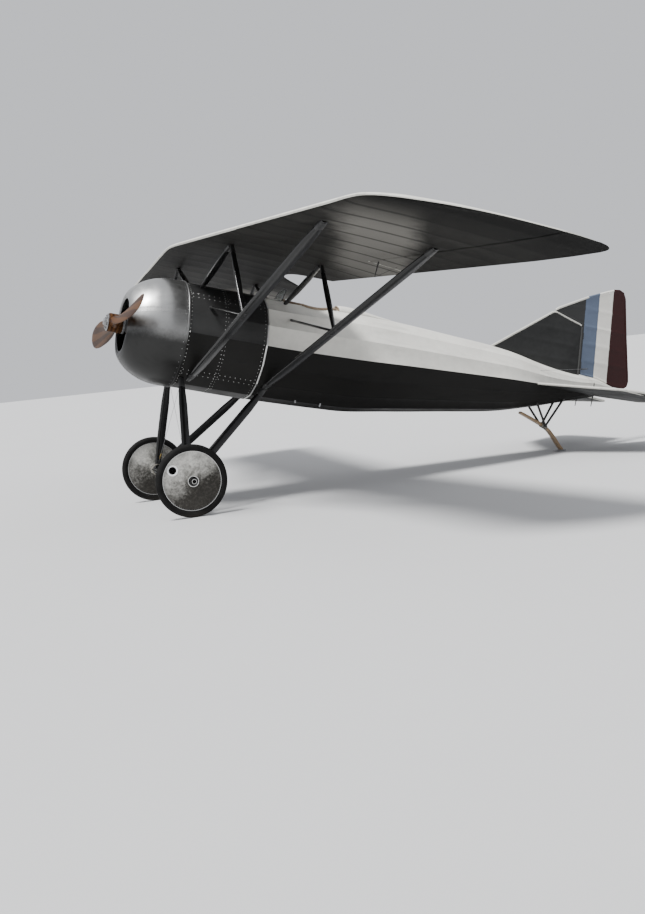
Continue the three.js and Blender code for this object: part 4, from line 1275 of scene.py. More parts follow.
def build_cowl():
    outer = cowl_outline()
    mouth_x, mouth_r = COWL_PROFILE[0][0] + 0.004, COWL_PROFILE[0][1] - COWL_LIP
    lip = [(mouth_x + COWL_LIP * sin(a), mouth_r + COWL_LIP * cos(a)) for a in np.linspace(0, pi, 8)[1:]]
    inner = [(x + COWL_WALL, r - COWL_WALL * 1.5) for x, r in reversed(outer[2:])]
    shell = Shell().lathe([*reversed(outer), *lip, *reversed(inner)], 128, closed=True)
    # Rolled bead and screws at the rear edge
    bead = [(-0.162 + 0.004 * cos(a), COWL_RIM + 0.0028 * sin(a)) for a in np.linspace(0, pi, 7)]
    shell.lathe(bead, 128)
    for angle in turns(48) + tau / 96:
        shell.head(-0.182, COWL_RIM, angle, SCREW, 1)
    # Lapped and riveted joints of the three sheets
    lap = ((-0.024, -0.001), (-0.0235, 0.0014), (0.0235, 0.0014), (0.024, -0.001))
    for angle in np.radians((70, 180, 290)):
        for off in (-0.014, 0.014):
            for x, r in outer[4:-2:2]:
                shell.head(x, r + 0.0012, angle + off / r, 0.0034, 1, sides=6)
        shell.loft([[round_x(x, r + grow, angle + off / r) for off, grow in lap] for x, r in outer[2:-1]])
    make_piece("engine_cowling", shell, ("cowl", "steel"), ("engine_cowl",))


def cylinder_profile():
    """Height and radius of one finned barrel, from the crankcase out."""
    drum, top, fin = ENGINE["drum"], ENGINE["top"], ENGINE["fin"]
    points = [(drum - 0.02, 0), (drum - 0.02, 0.047), (drum + 0.014, 0.047)]
    for i, h in enumerate(np.arange(drum + 0.02, top - 0.045, 0.0125)):
        reach = fin - 0.006 + 0.006 * min(1, i / 6)
        points += [(h, 0.046), (h + 0.001, reach), (h + 0.0028, reach), (h + 0.0038, 0.046)]
    return [*points, (top - 0.035, 0.047), (top - 0.028, 0.04), (top - 0.012, 0.036), (top - 0.01, 0)]


def engine_cylinder():
    """One cylinder upright over the crankshaft, with its valve gear, plug and induction pipe."""
    drum, top = ENGINE["drum"], ENGINE["top"]
    shell = Shell()
    rings = [[(r * cos(t), r * sin(t), h) for t in turns(28)] for h, r in cylinder_profile()]
    shell.loft(rings, 0, caps=False)
    shell.tube([(-0.066, 0.012, drum - 0.01), (-0.066, 0.012, top - 0.012)], 0.0055, 8, 2)
    rocker = [(-0.07, 0.012, top - 0.014), (-0.02, 0.006, top - 0.001), (0.026, 0, top - 0.012)]
    shell.tube(rocker, 0.006, 8, 2)
    shell.tube([(0, 0, top - 0.03), (0, 0, top - 0.004)], (0.02, 0.014), 12, 2)
    shell.tube([(-0.05, -0.03, top - 0.075), (-0.074, -0.036, top - 0.07)], (0.008, 0.006), 8, 3)
    pipe = [(0.062, 0.05, drum - 0.012), (0.072, 0.055, 0.22), (0.068, 0.045, 0.33)]
    return shell.tube([*pipe, (0.045, 0.02, top - 0.03)], 0.0125, 12, 4)


def build_engine():
    plane, drum, nose, front = ENGINE["plane"], ENGINE["drum"], ENGINE["nose"], PROPELLER["x"]
    case = (
        *((plane + 0.078, 0.043), (plane + 0.078, drum - 0.02), (plane + 0.07, drum - 0.004)),
        *((plane + 0.055, drum), (plane - 0.045, drum), (plane - 0.062, drum - 0.006)),
        *((plane - 0.078, drum - 0.032), (plane - 0.1, drum - 0.05), (plane - 0.13, nose + 0.012)),
        *((plane - 0.15, nose), (front + 0.09, nose), (front + 0.085, nose + 0.02)),
        *((front + 0.067, nose + 0.02), (front + 0.067, 0)),
    )
    shell = Shell().lathe(case, 72, 1)
    for angle in turns(18):
        shell.dome(round_x(plane - 0.079, 0.118, angle), (-1, 0, 0), 0.007, 0.008, 2, 6)
    cylinder = engine_cylinder()
    for angle in turns(9):
        place = Matrix.Translation((plane, 0, THRUST_Z)) @ Matrix.Rotation(angle, 4, "X")
        shell.copy(cylinder, place)
    finishes = ("iron", "steel", "bright edge", "brass", "copper")
    make_piece("rotary_engine_detail", shell, finishes, ("rotary_engine",), "engine")


def blade_rings(count=44, around=28):
    rings = []
    for t in np.linspace(0, 1, count):
        share = -0.02 + 1.02 * (1 - (1 - t) ** 1.4)
        chord, thick, pitch = (smooth_table(BLADE, share, c) for c in (1, 2, 3))
        s, c = sin(radians(pitch)), cos(radians(pitch))
        along, across = np.array((s, 0, c)), np.array((c, 0, -s))
        middle = np.array((0, -share * PROPELLER["radius"], 0))
        flat = float(np.interp(share, (0.1, 0.35), (0, 0.55)))
        ring = []
        for turn in turns(around):
            lift = sin(turn) * (1 - flat) if sin(turn) > 0 else sin(turn)
            ring.append(middle + along * (chord / 2) * cos(turn) + across * (thick / 2) * lift)
        rings.append(ring)
    return rings


def build_propeller():
    place = Matrix.Translation((PROPELLER["x"], 0, THRUST_Z)) @ Matrix.Rotation(-PROPELLER["tilt"], 4, "X")
    blade, shell = Shell().loft(blade_rings()), Shell()
    for turn in (0, pi):
        shell.copy(blade, place @ Matrix.Rotation(turn, 4, "X"))
    x, r = PROPELLER["x"], PROPELLER["hub"]
    half = ((0.066, 0), (0.066, r - 0.008), (0.06, r - 0.002), (0.05, r))
    front = [(x - d, reach) for d, reach in half]
    back = [(x + d, reach) for d, reach in reversed(half)]
    shell.lathe([*front, *back], 64)
    finishes = ("propeller",)
    make_piece("propeller_blades", shell, finishes, ("propeller",), "engine", crease=50)


def build_hub_plate():
    face, r = PROPELLER["x"] - 0.06635, PROPELLER["hub"]
    plate = (
        *((face, 0), (face, r - 0.01), (face - 0.002, r - 0.008), (face - 0.007, r - 0.008)),
        *((face - 0.009, r - 0.012), (face - 0.009, 0.04), (face - 0.012, 0.034)),
        *((face - 0.036, 0.031), (face - 0.04, 0.027), (face - 0.04, 0)),
    )
    hub = Shell().lathe(plate, 64)
    for angle in turns(8):
        for near, far, radius, sides in ((0.008, 0.017, 0.0105, 6), (0.016, 0.022, 0.006, 12)):
            hub.tube([round_x(face - d, 0.058, angle) for d in (near, far)], radius, sides)
    finishes = ("steel",)
    make_piece("propeller_hub_plate", hub, finishes, ("propeller_hub",), "engine", crease=30)


# Wing


def leading_edge(y):
    if y <= TIP_LEADING[0][0]:
        return ROOT_LEADING + LEADING_SLOPE * hypot(y, APEX_ROUNDING)
    return smooth_table(TIP_LEADING, y)


def trailing_edge(y):
    if y <= TIP_TRAILING[0][0]:
        return ROOT_TRAILING + TRAILING_SLOPE * y
    return smooth_table(TIP_TRAILING, y)


def cutout_edge(y):
    """Trailing edge with the arch cut for the pilot's view."""
    half, front = CUTOUT["half_width"], CUTOUT["front"]
    if y >= half:
        return trailing_edge(y)
    return front + (trailing_edge(half) - front) * (y / half) ** CUTOUT["power"]


def wing_datum(x, y):
    return WING_Z - (x - ROOT_LEADING) * tan(WING_INCIDENCE) - y * tan(WING_DROOP)


def wing_surface(x, y):
    """Heights of the upper and lower surface at a place in the wing's plan."""
    front, back = leading_edge(y), trailing_edge(y)
    share = within((x - front) / max(1e-6, back - front))
    thin = lerp_table(TIP_THICKNESS, y)
    base = wing_datum(x, y) + AILERON["rise"] * (1 - thin)
    root = sqrt(share)
    curve = [(sqrt(f), u, low) for f, u, low in AIRFOIL]
    upper, lower = smooth_table(curve, root), smooth_table(curve, root, 2)
    return base + upper * WING_THICKNESS * thin, base + lower * WING_THICKNESS * thin


def rib_sag(y, share, sag):
    """How far the linen sinks at a place between two ribs; riblets halve the bays at the nose."""
    bay = y / RIB_SPACING
    t, t2 = bay % 1, (bay * 2) % 1
    whole, half = 4 * t * (1 - t), 4 * t2 * (1 - t2) * 0.35
    blend = within((share - 0.1) / 0.1)
    edge = min(1, share / 0.05) * min(1, (1 - share) / 0.05)
    return sag * edge * (half * (1 - blend) + whole * blend)


def wing_ring(y, side, back, sag):
    """Closed ring round the wing at y, from the nose over the top to back and home below."""
    front, full = leading_edge(y), trailing_edge(y)
    top, low = [], []
    for t in np.arange(WING_COLUMNS + 1) / WING_COLUMNS:
        x = front + (back - front) * t**1.7
        share = (x - front) / max(1e-6, full - front)
        upper, lower = wing_surface(x, y)
        sink = min(rib_sag(y, share, sag), (upper - lower) * 0.3)
        top.append((x, side * y, upper - sink))
        low.append((x, side * y, lower + sink * 0.8))
    return [*top, *reversed(low[1:])]


def wing_kind(column):
    """Material by place round the wing: the upper linen goes round the nose a little way under it, as a
    painted highlight along the leading edge.
    """
    return 0 if column < WING_COLUMNS or column > 2 * WING_COLUMNS - NOSE_WRAP else 1


def span_stations(start, end, per_bay=8):
    return np.linspace(start, end, max(3, ceil((end - start) / RIB_SPACING * per_bay)))


def tip_stations(start, end, count=20):
    """Places towards the wing tip, closer and closer together."""
    return end - (end - start) * np.linspace(1, 0.004, count)[1:] ** 1.6


def aileron_axis(y, side):
    x = AILERON["x"] + AILERON["slope"] * y
    return np.array((x, side * y, wing_datum(x, y) + AILERON["rise"]))


def aileron_nose(y):
    """Radius and middle height of the aileron's rounded nose."""
    upper, lower = wing_surface(AILERON["x"] + AILERON["slope"] * y, y)
    return min(AILERON["nose"], (upper - lower) / 2 - 0.001), (upper + lower) / 2


def spar_x(y):
    """Rear edge of the wing in front of the aileron."""
    return AILERON["x"] + AILERON["slope"] * y - aileron_nose(y)[0] - AILERON["gap"]


def build_wing(name, side):
    sag = settings("covering").sag
    inner_end = AILERON["inner"] - AILERON["gap"]
    inner = [wing_ring(y, side, cutout_edge(y), sag) for y in span_stations(0, inner_end)]
    shell = Shell().loft(inner, kind_of_column=wing_kind)
    stations = [*span_stations(inner_end, TIP_START), *tip_stations(TIP_START, TIP_Y)]
    outer = [wing_ring(y, side, min(spar_x(y), trailing_edge(y)), sag) for y in stations]
    shell.loft(outer, kind_of_column=wing_kind)
    # Lugs on the spar that carry the aileron's hinges
    for y in AILERON_HINGES:
        axis = aileron_axis(y, side)
        along = unit(aileron_axis(y + 0.1, side) - axis)
        for off in (-0.009, 0.009):
            eye = axis + along * off
            shell.tube([eye - (0.05, 0, 0), eye - (0.012, 0, 0)], (0.011, 0.009), 10, 2)
    finishes = ("wing linen", "underside", "fitting")
    make_piece(f"wing_covering_{name}", shell, finishes, (f"wing_{name}",), crease=30, weld=True)


def aileron_ring(y, side, sag):
    x_axis, back = aileron_axis(y, side)[0], trailing_edge(y)
    radius, middle = aileron_nose(y)
    top, low = [], []
    for turn in np.linspace(0, pi / 2, AILERON_NOSE_POINTS):
        x = x_axis - radius * cos(turn)
        top.append((x, side * y, middle + radius * sin(turn)))
        low.append((x, side * y, middle - radius * sin(turn)))
    for t in np.arange(1, AILERON_COLUMNS + 1) / AILERON_COLUMNS:
        x = x_axis + (back - x_axis) * t
        high, under = wing_surface(x, y)
        blend = min(1, t / 0.2)
        high = middle + radius + (high - middle - radius) * blend
        under = middle - radius + (under - middle + radius) * blend
        sink = min(rib_sag(y, 0.5, sag * 0.7) * min(1, (1 - t) / 0.1) * blend, (high - under) * 0.25)
        edge = 0.0006 if t == 1 else 0
        top.append((x, side * y, high - sink + edge))
        low.append((x, side * y, under + sink - edge))
    return [*top, *reversed(low[1:])]


def build_aileron(name, side):
    sag = settings("covering").sag
    stations = [*span_stations(AILERON["inner"], TIP_START), *tip_stations(TIP_START, AILERON["outer"])]
    top_columns = AILERON_COLUMNS + AILERON_NOSE_POINTS - 1
    shell = Shell().loft(
        [aileron_ring(y, side, sag) for y in stations],
        kind_of_column=lambda column: 0 if column < top_columns else 1,
    )
    # Control horn above and below, and its two stays
    axis = aileron_axis(AILERON_HORN_Y, side)
    for lift in (0.15, -0.15):
        root, tip = axis + (0.012, 0, copysign(0.02, lift)), axis + (-0.004, 0, lift)
        shell.tube([root, (root + tip) / 2, tip], (0.007, 0.0055, 0.0035), 8, 2)
        shell.tube([tip, axis + (0.2, 0, copysign(0.018, lift))], 0.0014, 6, 2)
    cad = f"aileron_{name}"
    finishes = ("wing linen", "underside", "fitting")
    make_piece(f"aileron_covering_{name}", shell, finishes, (cad,), cad, crease=30, weld=True)


# Struts


def strut_outline():
    upper = [(f, smooth_table(STRUT_SECTION, f)) for f in np.linspace(0, 1, 13) ** 1.5]
    return [*upper, *[(f, -t) for f, t in reversed(upper[1:])]]


def add_strut(shell, start, end, chord, thick, kind=0, sockets=(True, True), reach=(0.0, 0.0)):
    """A streamlined strut whose section narrows into a metal socket at each end."""
    start, end = np.array(start, float), np.array(end, float)
    length = np.linalg.norm(end - start)
    line = (end - start) / length
    start, end = start - line * reach[0], end + line * reach[1]
    length += sum(reach)
    fore = unit(np.array((1.0, 0, 0)) - line * line[0])
    side = np.cross(line, fore)
    outline = strut_outline()

    def ring(distance, swell, grow=1.0, pad=0.0):
        centre = start + line * distance
        chord_now = chord * swell * grow
        thick_now = thick * (0.7 + 0.3 * swell) * (grow + pad)
        return [centre + fore * (f - 0.45) * chord_now + side * t * thick_now / 2 for f, t in outline]

    def swell_at(distance):
        return STRUT_TAPER["end"] + (1 - STRUT_TAPER["end"]) * distance / STRUT_TAPER["length"]

    shares = np.linspace(0, 1, 25)
    shell.loft([ring(t * length, min(1, swell_at(min(t, 1 - t) * length))) for t in shares], kind)
    for wanted, flipped in zip(sockets, (False, True)):
        if wanted:
            sleeve = []
            for step, grow in SOCKET:
                distance = length - step - reach[1] if flipped else step + reach[0]
                sleeve.append(ring(distance, swell_at(step), grow, 0.06))
            shell.loft(sleeve, 1)


def make_strut(cad, shell):
    make_piece(f"{cad}_fine", shell, ("strut", "fitting"), (cad,))


def bay_points(bay, side):
    """Foot, top, node, apex, deck and side points of one bay of struts."""
    row = BAYS[bay]

    def on_wing(place):
        return np.array((place[0], side * place[1], wing_surface(*place)[1]))

    foot, top = mirrored(row["foot"], side), on_wing(row["top"])
    node = foot + (top - foot) * row["node"]
    return foot, top, node, on_wing(row["apex"]), mirrored(row["deck"], side), mirrored(row["side"], side)


def add_collar(shell, node, line, side):
    """Wrapped collar on a main strut that takes the braces."""
    for off in (-0.05, 0.05):
        low, high = (node + line * (off + d) for d in (-0.012, 0.012))
        add_strut(shell, low, high, 0.101, 0.047, kind=1, sockets=(False, False))
    shell.dome(node + np.array((0, side * 0.02, 0)), (0, side, 0), 0.012, 0.01, 1)


def build_struts(name, side):
    for bay in BAYS:
        foot, top, node, apex, deck, flank = bay_points(bay, side)
        lean = np.array((0, side * 0.024, 0))
        members = {
            # ends, chord, thickness, how far each end goes on
            "main_strut": (foot, top, 0.092, 0.038, (0.03, 0.02)),
            "wing_brace": (node, apex + lean, 0.054, 0.028, (-0.012, 0.012)),
            "side_brace": (node, flank, 0.048, 0.024, (-0.012, 0.03)),
            "cabane_strut": (apex - lean, deck, 0.062, 0.03, (0.012, 0.03)),
        }
        for member, (start, end, chord, thick, reach) in members.items():
            shell = Shell()
            add_strut(shell, start, end, chord, thick, reach=reach, sockets=(member != "wing_brace", True))
            if member == "main_strut":
                add_collar(shell, node, unit(top - foot), side)
            make_strut(f"{member}_{bay}_{name}", shell)


# Landing gear


def build_tyre(name, side):
    centre = (0, side * WHEEL["track"] / 2, 0)
    middle, section = WHEEL["radius"] - WHEEL["tyre"], WHEEL["tyre"]
    profile = []
    for turn in turns(36):
        tread = TREAD if cos(turn) > 0.86 else 0
        profile.append((section * sin(turn), middle + (section - TREAD + tread) * cos(turn)))
    shell = Shell().lathe(profile, 160, 0, "y", centre, closed=True)
    inner = middle - section + 0.013
    for sign in (-1, 1):
        bead = [(sign * (0.0125 + 0.003 * sin(a)), inner + 0.003 * cos(a)) for a in np.linspace(0, tau, 8)]
        shell.lathe(bead, 120, 0, "y", centre)
    cad, body = f"tyre_{name}", f"wheel_{name}"
    make_piece(f"tyre_rubber_{name}", shell, ("rubber",), (cad,), body, place=LEVEL, weld=True)


def cover_height(radius, rim):
    """How far the coned cover stands out from the wheel's middle plane."""
    share = max(0, radius - WHEEL["hub_radius"] + 0.002) / (rim - WHEEL["hub_radius"])
    return WHEEL["disc"] + 0.011 - (WHEEL["disc"] - 0.006) * share**0.92


def cover_rings(face, rim):
    """One coned cover, rippled over the spokes."""
    rings = []
    for turn in np.arange(161) / 160 * tau:
        ring = []
        for t in np.linspace(0, 1, 28):
            r = WHEEL["hub_radius"] - 0.002 + (rim - WHEEL["hub_radius"]) * t
            ripple = 0.0011 * sin(turn * SPOKES / 2) * sin(pi * t)
            ring.append((r * sin(turn), face * (cover_height(r, rim) + ripple), r * cos(turn)))
        rings.append(ring)
    return np.array(rings)


def add_cover_trim(shell, face, rim, centre):
    """Rim flange, hub lip and the lacing round a cover."""
    edge = [(face * (0.0135 + 0.0045 * sin(a)), rim + 0.0045 * cos(a)) for a in np.linspace(0, tau, 10)]
    shell.lathe(edge, 160, 1, "y", centre)
    lip = ((0.03, 0.05), (0.058, 0.0505), (0.0615, 0.0495), (0.062, 0.0465), (0.0615, 0.0435), (0.03, 0.0425))
    shell.lathe([(face * y, r) for y, r in lip], 64, 1, "y", centre, closed=True)
    # Near-black face inside the hub lip: painted shade of the recess
    shell.lathe([(face * 0.045, 0.0426), (face * 0.045, 0.0235)], 48, 3, "y", centre)
    r = rim - 0.009
    for a in turns(SPOKES * 2) + tau / (SPOKES * 4):
        stitch = centre + np.array((r * sin(a), face * 0.0205, r * cos(a)))
        shell.dome(stitch, (0, face, 0), 0.0022, 0.002, 2, 6)


def build_wheel_disc(name, side):
    centre = np.array((0, side * WHEEL["track"] / 2, 0))
    rim = WHEEL["radius"] - 2 * WHEEL["tyre"] + 0.004
    # Valve opening in the outer cover, square to the cover's cone
    radial = np.array((cos(VALVE["angle"]), 0, sin(VALVE["angle"])))
    height = cover_height(VALVE["distance"], rim)
    heart = centre + VALVE["distance"] * radial + np.array((0, side * height, 0))
    out = unit(np.array((0, side, 0)) + radial * (WHEEL["disc"] - 0.006) / (rim - WHEEL["hub_radius"]))
    across = unit(np.cross(out, (0, 0, 1)))
    up = np.cross(across, out)

    def circle(radius, lift):
        return [heart + out * lift + radius * (across * cos(t) + up * sin(t)) for t in turns(40)]

    shell = Shell()
    for face in (-1, 1):
        shell.loft(cover_rings(face, rim) + centre, 0, caps=False, closed=False)
        if face == side:
            shell.open_round(heart, VALVE["hole"] + 0.002)
        add_cover_trim(shell, face, rim, centre)
    hole, ring, depth = VALVE["hole"], VALVE["ring"], VALVE["depth"]
    eyelet = ((ring, -0.001), (ring - 0.002, 0.0035), (hole + 0.003, 0.004), (hole, 0.001), (hole, -0.004))
    shell.loft([circle(r, lift) for r, lift in eyelet], 4, caps=False)
    # The valve well is painted near-black: painted shade inside it
    well = ((hole, -0.004), (hole, -depth), (0.002, -depth))
    shell.loft([circle(r, lift) for r, lift in well], 3, caps=False)
    finishes = ("cover", "bright edge", "steel", "hollow", "white ring")
    body = f"wheel_{name}"
    make_piece(f"wheel_disc_{name}", shell, finishes, (body,), body, place=LEVEL)


def build_axle():
    half, hub = WHEEL["track"] / 2, WHEEL["hub"]
    end, cap, collar = half + hub + 0.034, half + hub + 0.002, half - hub - 0.016
    lip = ((-0.004, 0.0225), (0, 0.0215), (0, 0.0185), (-0.004, 0.0175), (-0.012, 0.0175))
    washer = ((0, 0.022), (0, 0.034), (0.003, 0.038), (0.013, 0.038), (0.016, 0.034), (0.016, 0.022))
    parts = (
        # material, place on the axle, distance and radius along the profile
        (2, end, lip),
        # Near-black disc in the axle's bore: painted shade
        (3, end, ((-0.012, 0.0175), (-0.012, 0))),
        (0, cap, washer),
        (1, collar, ((0, 0.022), (0, 0.032), (0.014, 0.032), (0.014, 0.022))),
    )
    origin = (0, 0, 0)
    shell = Shell().lathe([(-end + 0.004, 0.0225), (end - 0.004, 0.0225)], 40, 0, "y", origin)
    for side in SIDES.values():
        for kind, place, profile in parts:
            shell.lathe([(side * (place + y), r) for y, r in profile], 40, kind, "y", origin)
        pin = side * (cap + 0.022)
        shell.tube([(0, pin, 0.03), (0, pin, -0.034)], 0.0025, 8, 0)
    finishes = ("strut", "steel", "bright edge", "hollow")
    make_piece("axle_tube", shell, finishes, ("axle",), place=LEVEL)


def build_legs(name, side):
    apex = np.array((0, side * GEAR_APEX_Y, 0))
    for leg, top in GEAR_TOPS.items():
        end = mirrored(top, side)
        shell = Shell()
        add_strut(shell, apex + unit(end - apex) * 0.03, end, 0.08, 0.036, reach=(0, 0.035))
        make_strut(f"gear_leg_{leg}_{name}", shell)


def build_shock_cord(name, side):
    """Elastic cord wound round the axle between two plates."""
    shell = Shell()
    for y in (-0.024, 0.024):
        outline = [(0.056 * cos(a), 0.012 + 0.05 * sin(a)) for a in turns(24)]
        faces = [(GEAR_APEX_Y + y + d) * side for d in (-0.002, 0.002)]
        shell.loft([[(x, face, z) for x, z in outline] for face in faces], 1)
    loops, pitch = 11, 0.0088
    for i in range(loops):
        y = side * GEAR_APEX_Y + (i - (loops - 1) / 2) * pitch
        path = []
        for a in turns(28):
            pinch = 1 - 0.12 * cos(a) ** 2
            path.append((0.05 * cos(a), y + 0.0018 * sin(a), 0.052 * sin(a) * pinch + 0.004))
        shell.tube(path, 0.0054, 8, 0, closed=True)
    make_piece(f"shock_cord_{name}", shell, ("cord", "steel"), (f"axle_fitting_{name}",))


def build_spreaders():
    reach = GEAR_APEX_Y - 0.026
    for name, x in (("front", -0.044), ("rear", 0.044)):
        shell = Shell()
        add_strut(shell, (x, -reach, 0), (x, reach, 0), 0.044, 0.022)
        make_strut(f"spreader_{name}", shell)


# Tail


def sampled(start, end, count, dense=()):
    """Rows along a surface, with extra ones round the places named dense."""
    rows = set(np.linspace(start, end, count))
    for place in dense:
        rows |= {within(place + d, start, end) for d in (-0.012, -0.006, 0, 0.006, 0.012)}
    return sorted(rows)


def covered_frame(shell, rows, front, back, at, ribs, columns=26):
    """Linen over a flat frame of tubes: thick at its edges and ribs, thin between them."""
    rings = []
    for row in rows:
        a, b = lerp_table(front, row), lerp_table(back, row)
        near_rib = max(exp(-(((row - rib) / TAIL_LINEN["rib"]) ** 2)) for rib in ribs)
        top, bottom = [], []
        for t in np.arange(columns + 1) / columns:
            x = a + (b - a) * t
            edge = min(x - a, b - x, row - rows[0], rows[-1] - row)
            swell = max(near_rib, exp(-((max(edge, 0) / TAIL_LINEN["edge"]) ** 2)))
            thick = TAIL_LINEN["thick"] * (0.5 + 0.42 * swell)
            thick *= min(1, 0.25 + max(edge, 0) / 0.008) if edge < 0.006 else 1
            top.append(at(x, row, thick))
            bottom.append(at(x, row, -thick))
        rings.append([*top, *reversed(bottom)])
    shell.loft(rings)


def edge_path(rows, front, back, at):
    forward = [at(lerp_table(front, r), r, 0) for r in rows]
    aft = [at(lerp_table(back, r), r, 0) for r in reversed(rows)]
    return [*forward, *aft]


def add_surface(shell, rows, front, back, at, ribs, hinge_distance):
    """A covered frame with edge tubes: one material round the rim, another along the hinge."""
    covered_frame(shell, rows, front, back, at, ribs)
    outline = edge_path(rows, front, back, at)
    post = [place for place in outline if abs(hinge_distance(place)) < 1e-6]
    rim = [place for place in outline if abs(hinge_distance(place)) >= 1e-6]
    for path, kind in ((rim, 1), (post, 3)):
        shell.tube(path, TAIL_EDGE, 10, kind)


def hinge_x(z):
    return HINGE["x"] - (z - HINGE["z"]) * HINGE["lean"]


def upright(x, z, thick):
    return (x, thick, z)


def flat_at(side):
    return lambda x, y, thick: (x, side * y, TAIL_Z + thick)


def add_hinges(shell, places, direction, reach=0.0):
    """Short knuckles round the hinge pins, each with an arm of the length reach."""
    half = unit(direction) * 0.011
    for place in np.array(places, float):
        shell.tube([place - half, place + half], 0.0115, 12, 2)
        if reach:
            shell.tube([place, place - (reach, 0, 0)], 0.006, 8, 2)


def post_hinges(shell, heights, reach=0.0):
    add_hinges(shell, [(hinge_x(z), 0, z) for z in heights], (-HINGE["lean"], 0, 1), reach)


def spar_hinges(shell, side, places, reach=0.0):
    add_hinges(shell, [(ELEVATOR_X, side * y, TAIL_Z) for y in places], (0, 1, 0), reach)


def make_tail_piece(cad, name, shell, finishes=TAIL_FINISHES, body="airframe"):
    make_piece(name, shell, finishes, (cad,), body)


def build_fin():
    post = [(z, hinge_x(z) - TAIL_GAP) for z in (1.6, 2.184)]
    rows = sampled(1.6, 2.276, 40, (2.2, 2.255))
    shell = Shell()
    rear = (*post, *FIN_TOP)
    add_surface(shell, rows, FIN_FRONT, rear, upright, FIN_RIBS, lambda p: p[0] - hinge_x(p[2]) + TAIL_GAP)
    post_hinges(shell, (1.76, 2.08), 0.03)
    make_tail_piece("fin", "fin_covering", shell)


def build_rudder():
    post = [(z, hinge_x(z) - TAIL_EDGE) for z in (1.669, 2.204)]
    front = (*RUDDER_FOOT, *post, *RUDDER_HORN)
    rows = sampled(1.601, 2.65, 60, (1.615, 1.65, 1.668, 2.204, 2.292, 2.306, 2.64))
    outline = edge_path(rows, front, RUDDER_BACK, upright)
    shell = Shell()
    covered_frame(shell, rows, front, RUDDER_BACK, upright, RUDDER_RIBS)
    shell.tube(outline, TAIL_EDGE, 10, 0, closed=True)
    balance = [p for p in outline[: len(rows)] if p[2] > 2.3 and p[0] < 4.33]
    shell.tube(balance, TAIL_EDGE * 1.06, 10, 1)
    post_hinges(shell, (1.735, 1.785, 2.055, 2.105))
    horn = hinge_x(HORN_Z)
    for side in SIDES.values():
        root, tip = (horn + 0.012, side * 0.01, HORN_Z), (horn + 0.006, side * 0.14, HORN_Z)
        shell.tube([root, tip], (0.008, 0.004), 8, 2)
    make_tail_piece("rudder", "rudder_covering", shell, ("rudder linen", "tail edge", "fitting"), "rudder")


def build_stabilizer(name, side):
    back_x = ELEVATOR_X - TAIL_GAP
    back = ((0.03, back_x), (1.04, back_x), (1.128, 4.16))
    rows = sampled(0.03, 1.128, 34, (1.04, 1.118))
    shell = Shell()
    at, ribs = flat_at(side), STABILIZER_RIBS
    add_surface(shell, rows, STABILIZER_FRONT, back, at, ribs, lambda p: p[0] - back_x)
    spar_hinges(shell, side, (0.26, 0.9), 0.03)
    make_tail_piece(f"stabilizer_{name}", f"stabilizer_covering_{name}", shell)


def build_elevator():
    nose = ELEVATOR_X - TAIL_EDGE
    front = ((0.122, nose), (1.06, nose), *ELEVATOR_HORN)
    back = ((0.122, nose + 0.06), *ELEVATOR_BACK)
    rows = sampled(0.122, 1.392, 60, (0.28, 1.06, 1.148, 1.164))
    shell = Shell()
    for side in SIDES.values():
        add_surface(shell, rows, front, back, flat_at(side), ELEVATOR_RIBS, lambda p: p[0] - nose)
        spar_hinges(shell, side, (0.235, 0.285, 0.875, 0.925))
        for lift in (0.13, -0.13):
            root = (ELEVATOR_X + 0.01, side * HORN_Y, TAIL_Z + copysign(0.01, lift))
            tip = (ELEVATOR_X + 0.004, side * HORN_Y, TAIL_Z + lift)
            shell.tube([root, tip], (0.008, 0.004), 8, 2)
    shell.tube([(ELEVATOR_X, -0.13, TAIL_Z), (ELEVATOR_X, 0.13, TAIL_Z)], 0.015, 14, 2)
    make_tail_piece("elevator", "elevator_covering", shell, body="elevator")


def ground_z(x):
    """Height of the ground under a place in the datum frame, with the wheels' facets on it."""
    flat = WHEEL["radius"] * cos(pi / 48)
    return (x * sin(GROUND_ANGLE) - flat) / cos(GROUND_ANGLE)


def skid_rings():
    """Squared sections along the bent beam of the skid."""
    line = [*SKID_LINE, (SKID_HEEL_X, ground_z(SKID_HEEL_X) + 0.014)]
    rings = []
    for i, (x, z) in enumerate(line):
        before, after = line[max(i - 1, 0)], line[min(i + 1, len(line) - 1)]
        along = unit((after[0] - before[0], 0, after[1] - before[1]))
        normal = np.array((along[2], 0, -along[0]))
        wide, deep = SKID_HALF[0], SKID_HALF[1] * (0.85 if i == 0 else 1)
        ring = []
        for a in turns(16):
            s, c = sin(a), cos(a)
            square = 1 / max(abs(s), abs(c)) ** 0.75
            ring.append(np.array((x, wide * c * square, z)) + normal * deep * s * square)
        rings.append(ring)
    return rings


def build_tail_skid():
    pivot = np.array((SKID_LINE[2][0], 0, SKID_LINE[2][1]))
    beam = Shell().loft(skid_rings())
    for i in range(9):
        centre = pivot + np.array((-0.03 + 0.0075 * i, 0, 0.01 - 0.0025 * i))
        loop = [centre + np.array((0, 0.036 * cos(a), 0.024 * sin(a))) for a in turns(24)]
        beam.tube(loop, 0.0042, 6, 1, closed=True)
    sole = Shell().plank((-0.06, -0.036, 0.0), (0.06, 0.036, 0.016), 2, 0.004)
    sole_x = SKID_HEEL_X - 0.02
    place = Matrix.Translation((sole_x, 0, ground_z(sole_x)))
    beam.copy(sole, place @ Matrix.Rotation(-GROUND_ANGLE, 4, "Y"))
    make_piece("tail_skid_beam", beam, ("ash", "cord", "steel"), ("tail_skid",))
    pylon = Shell().tube([pivot - (0, 0.046, 0), pivot + (0, 0.046, 0)], 0.016, 16)
    for side in SIDES.values():
        for end in PYLON_FEET:
            pylon.tube([pivot + np.array((0, side * 0.044, 0)), mirrored(end, side)], 0.0125, 12)
    make_piece("tail_skid_frame", pylon, ("strut",), ("tail_skid_pylon",))


# Rigging


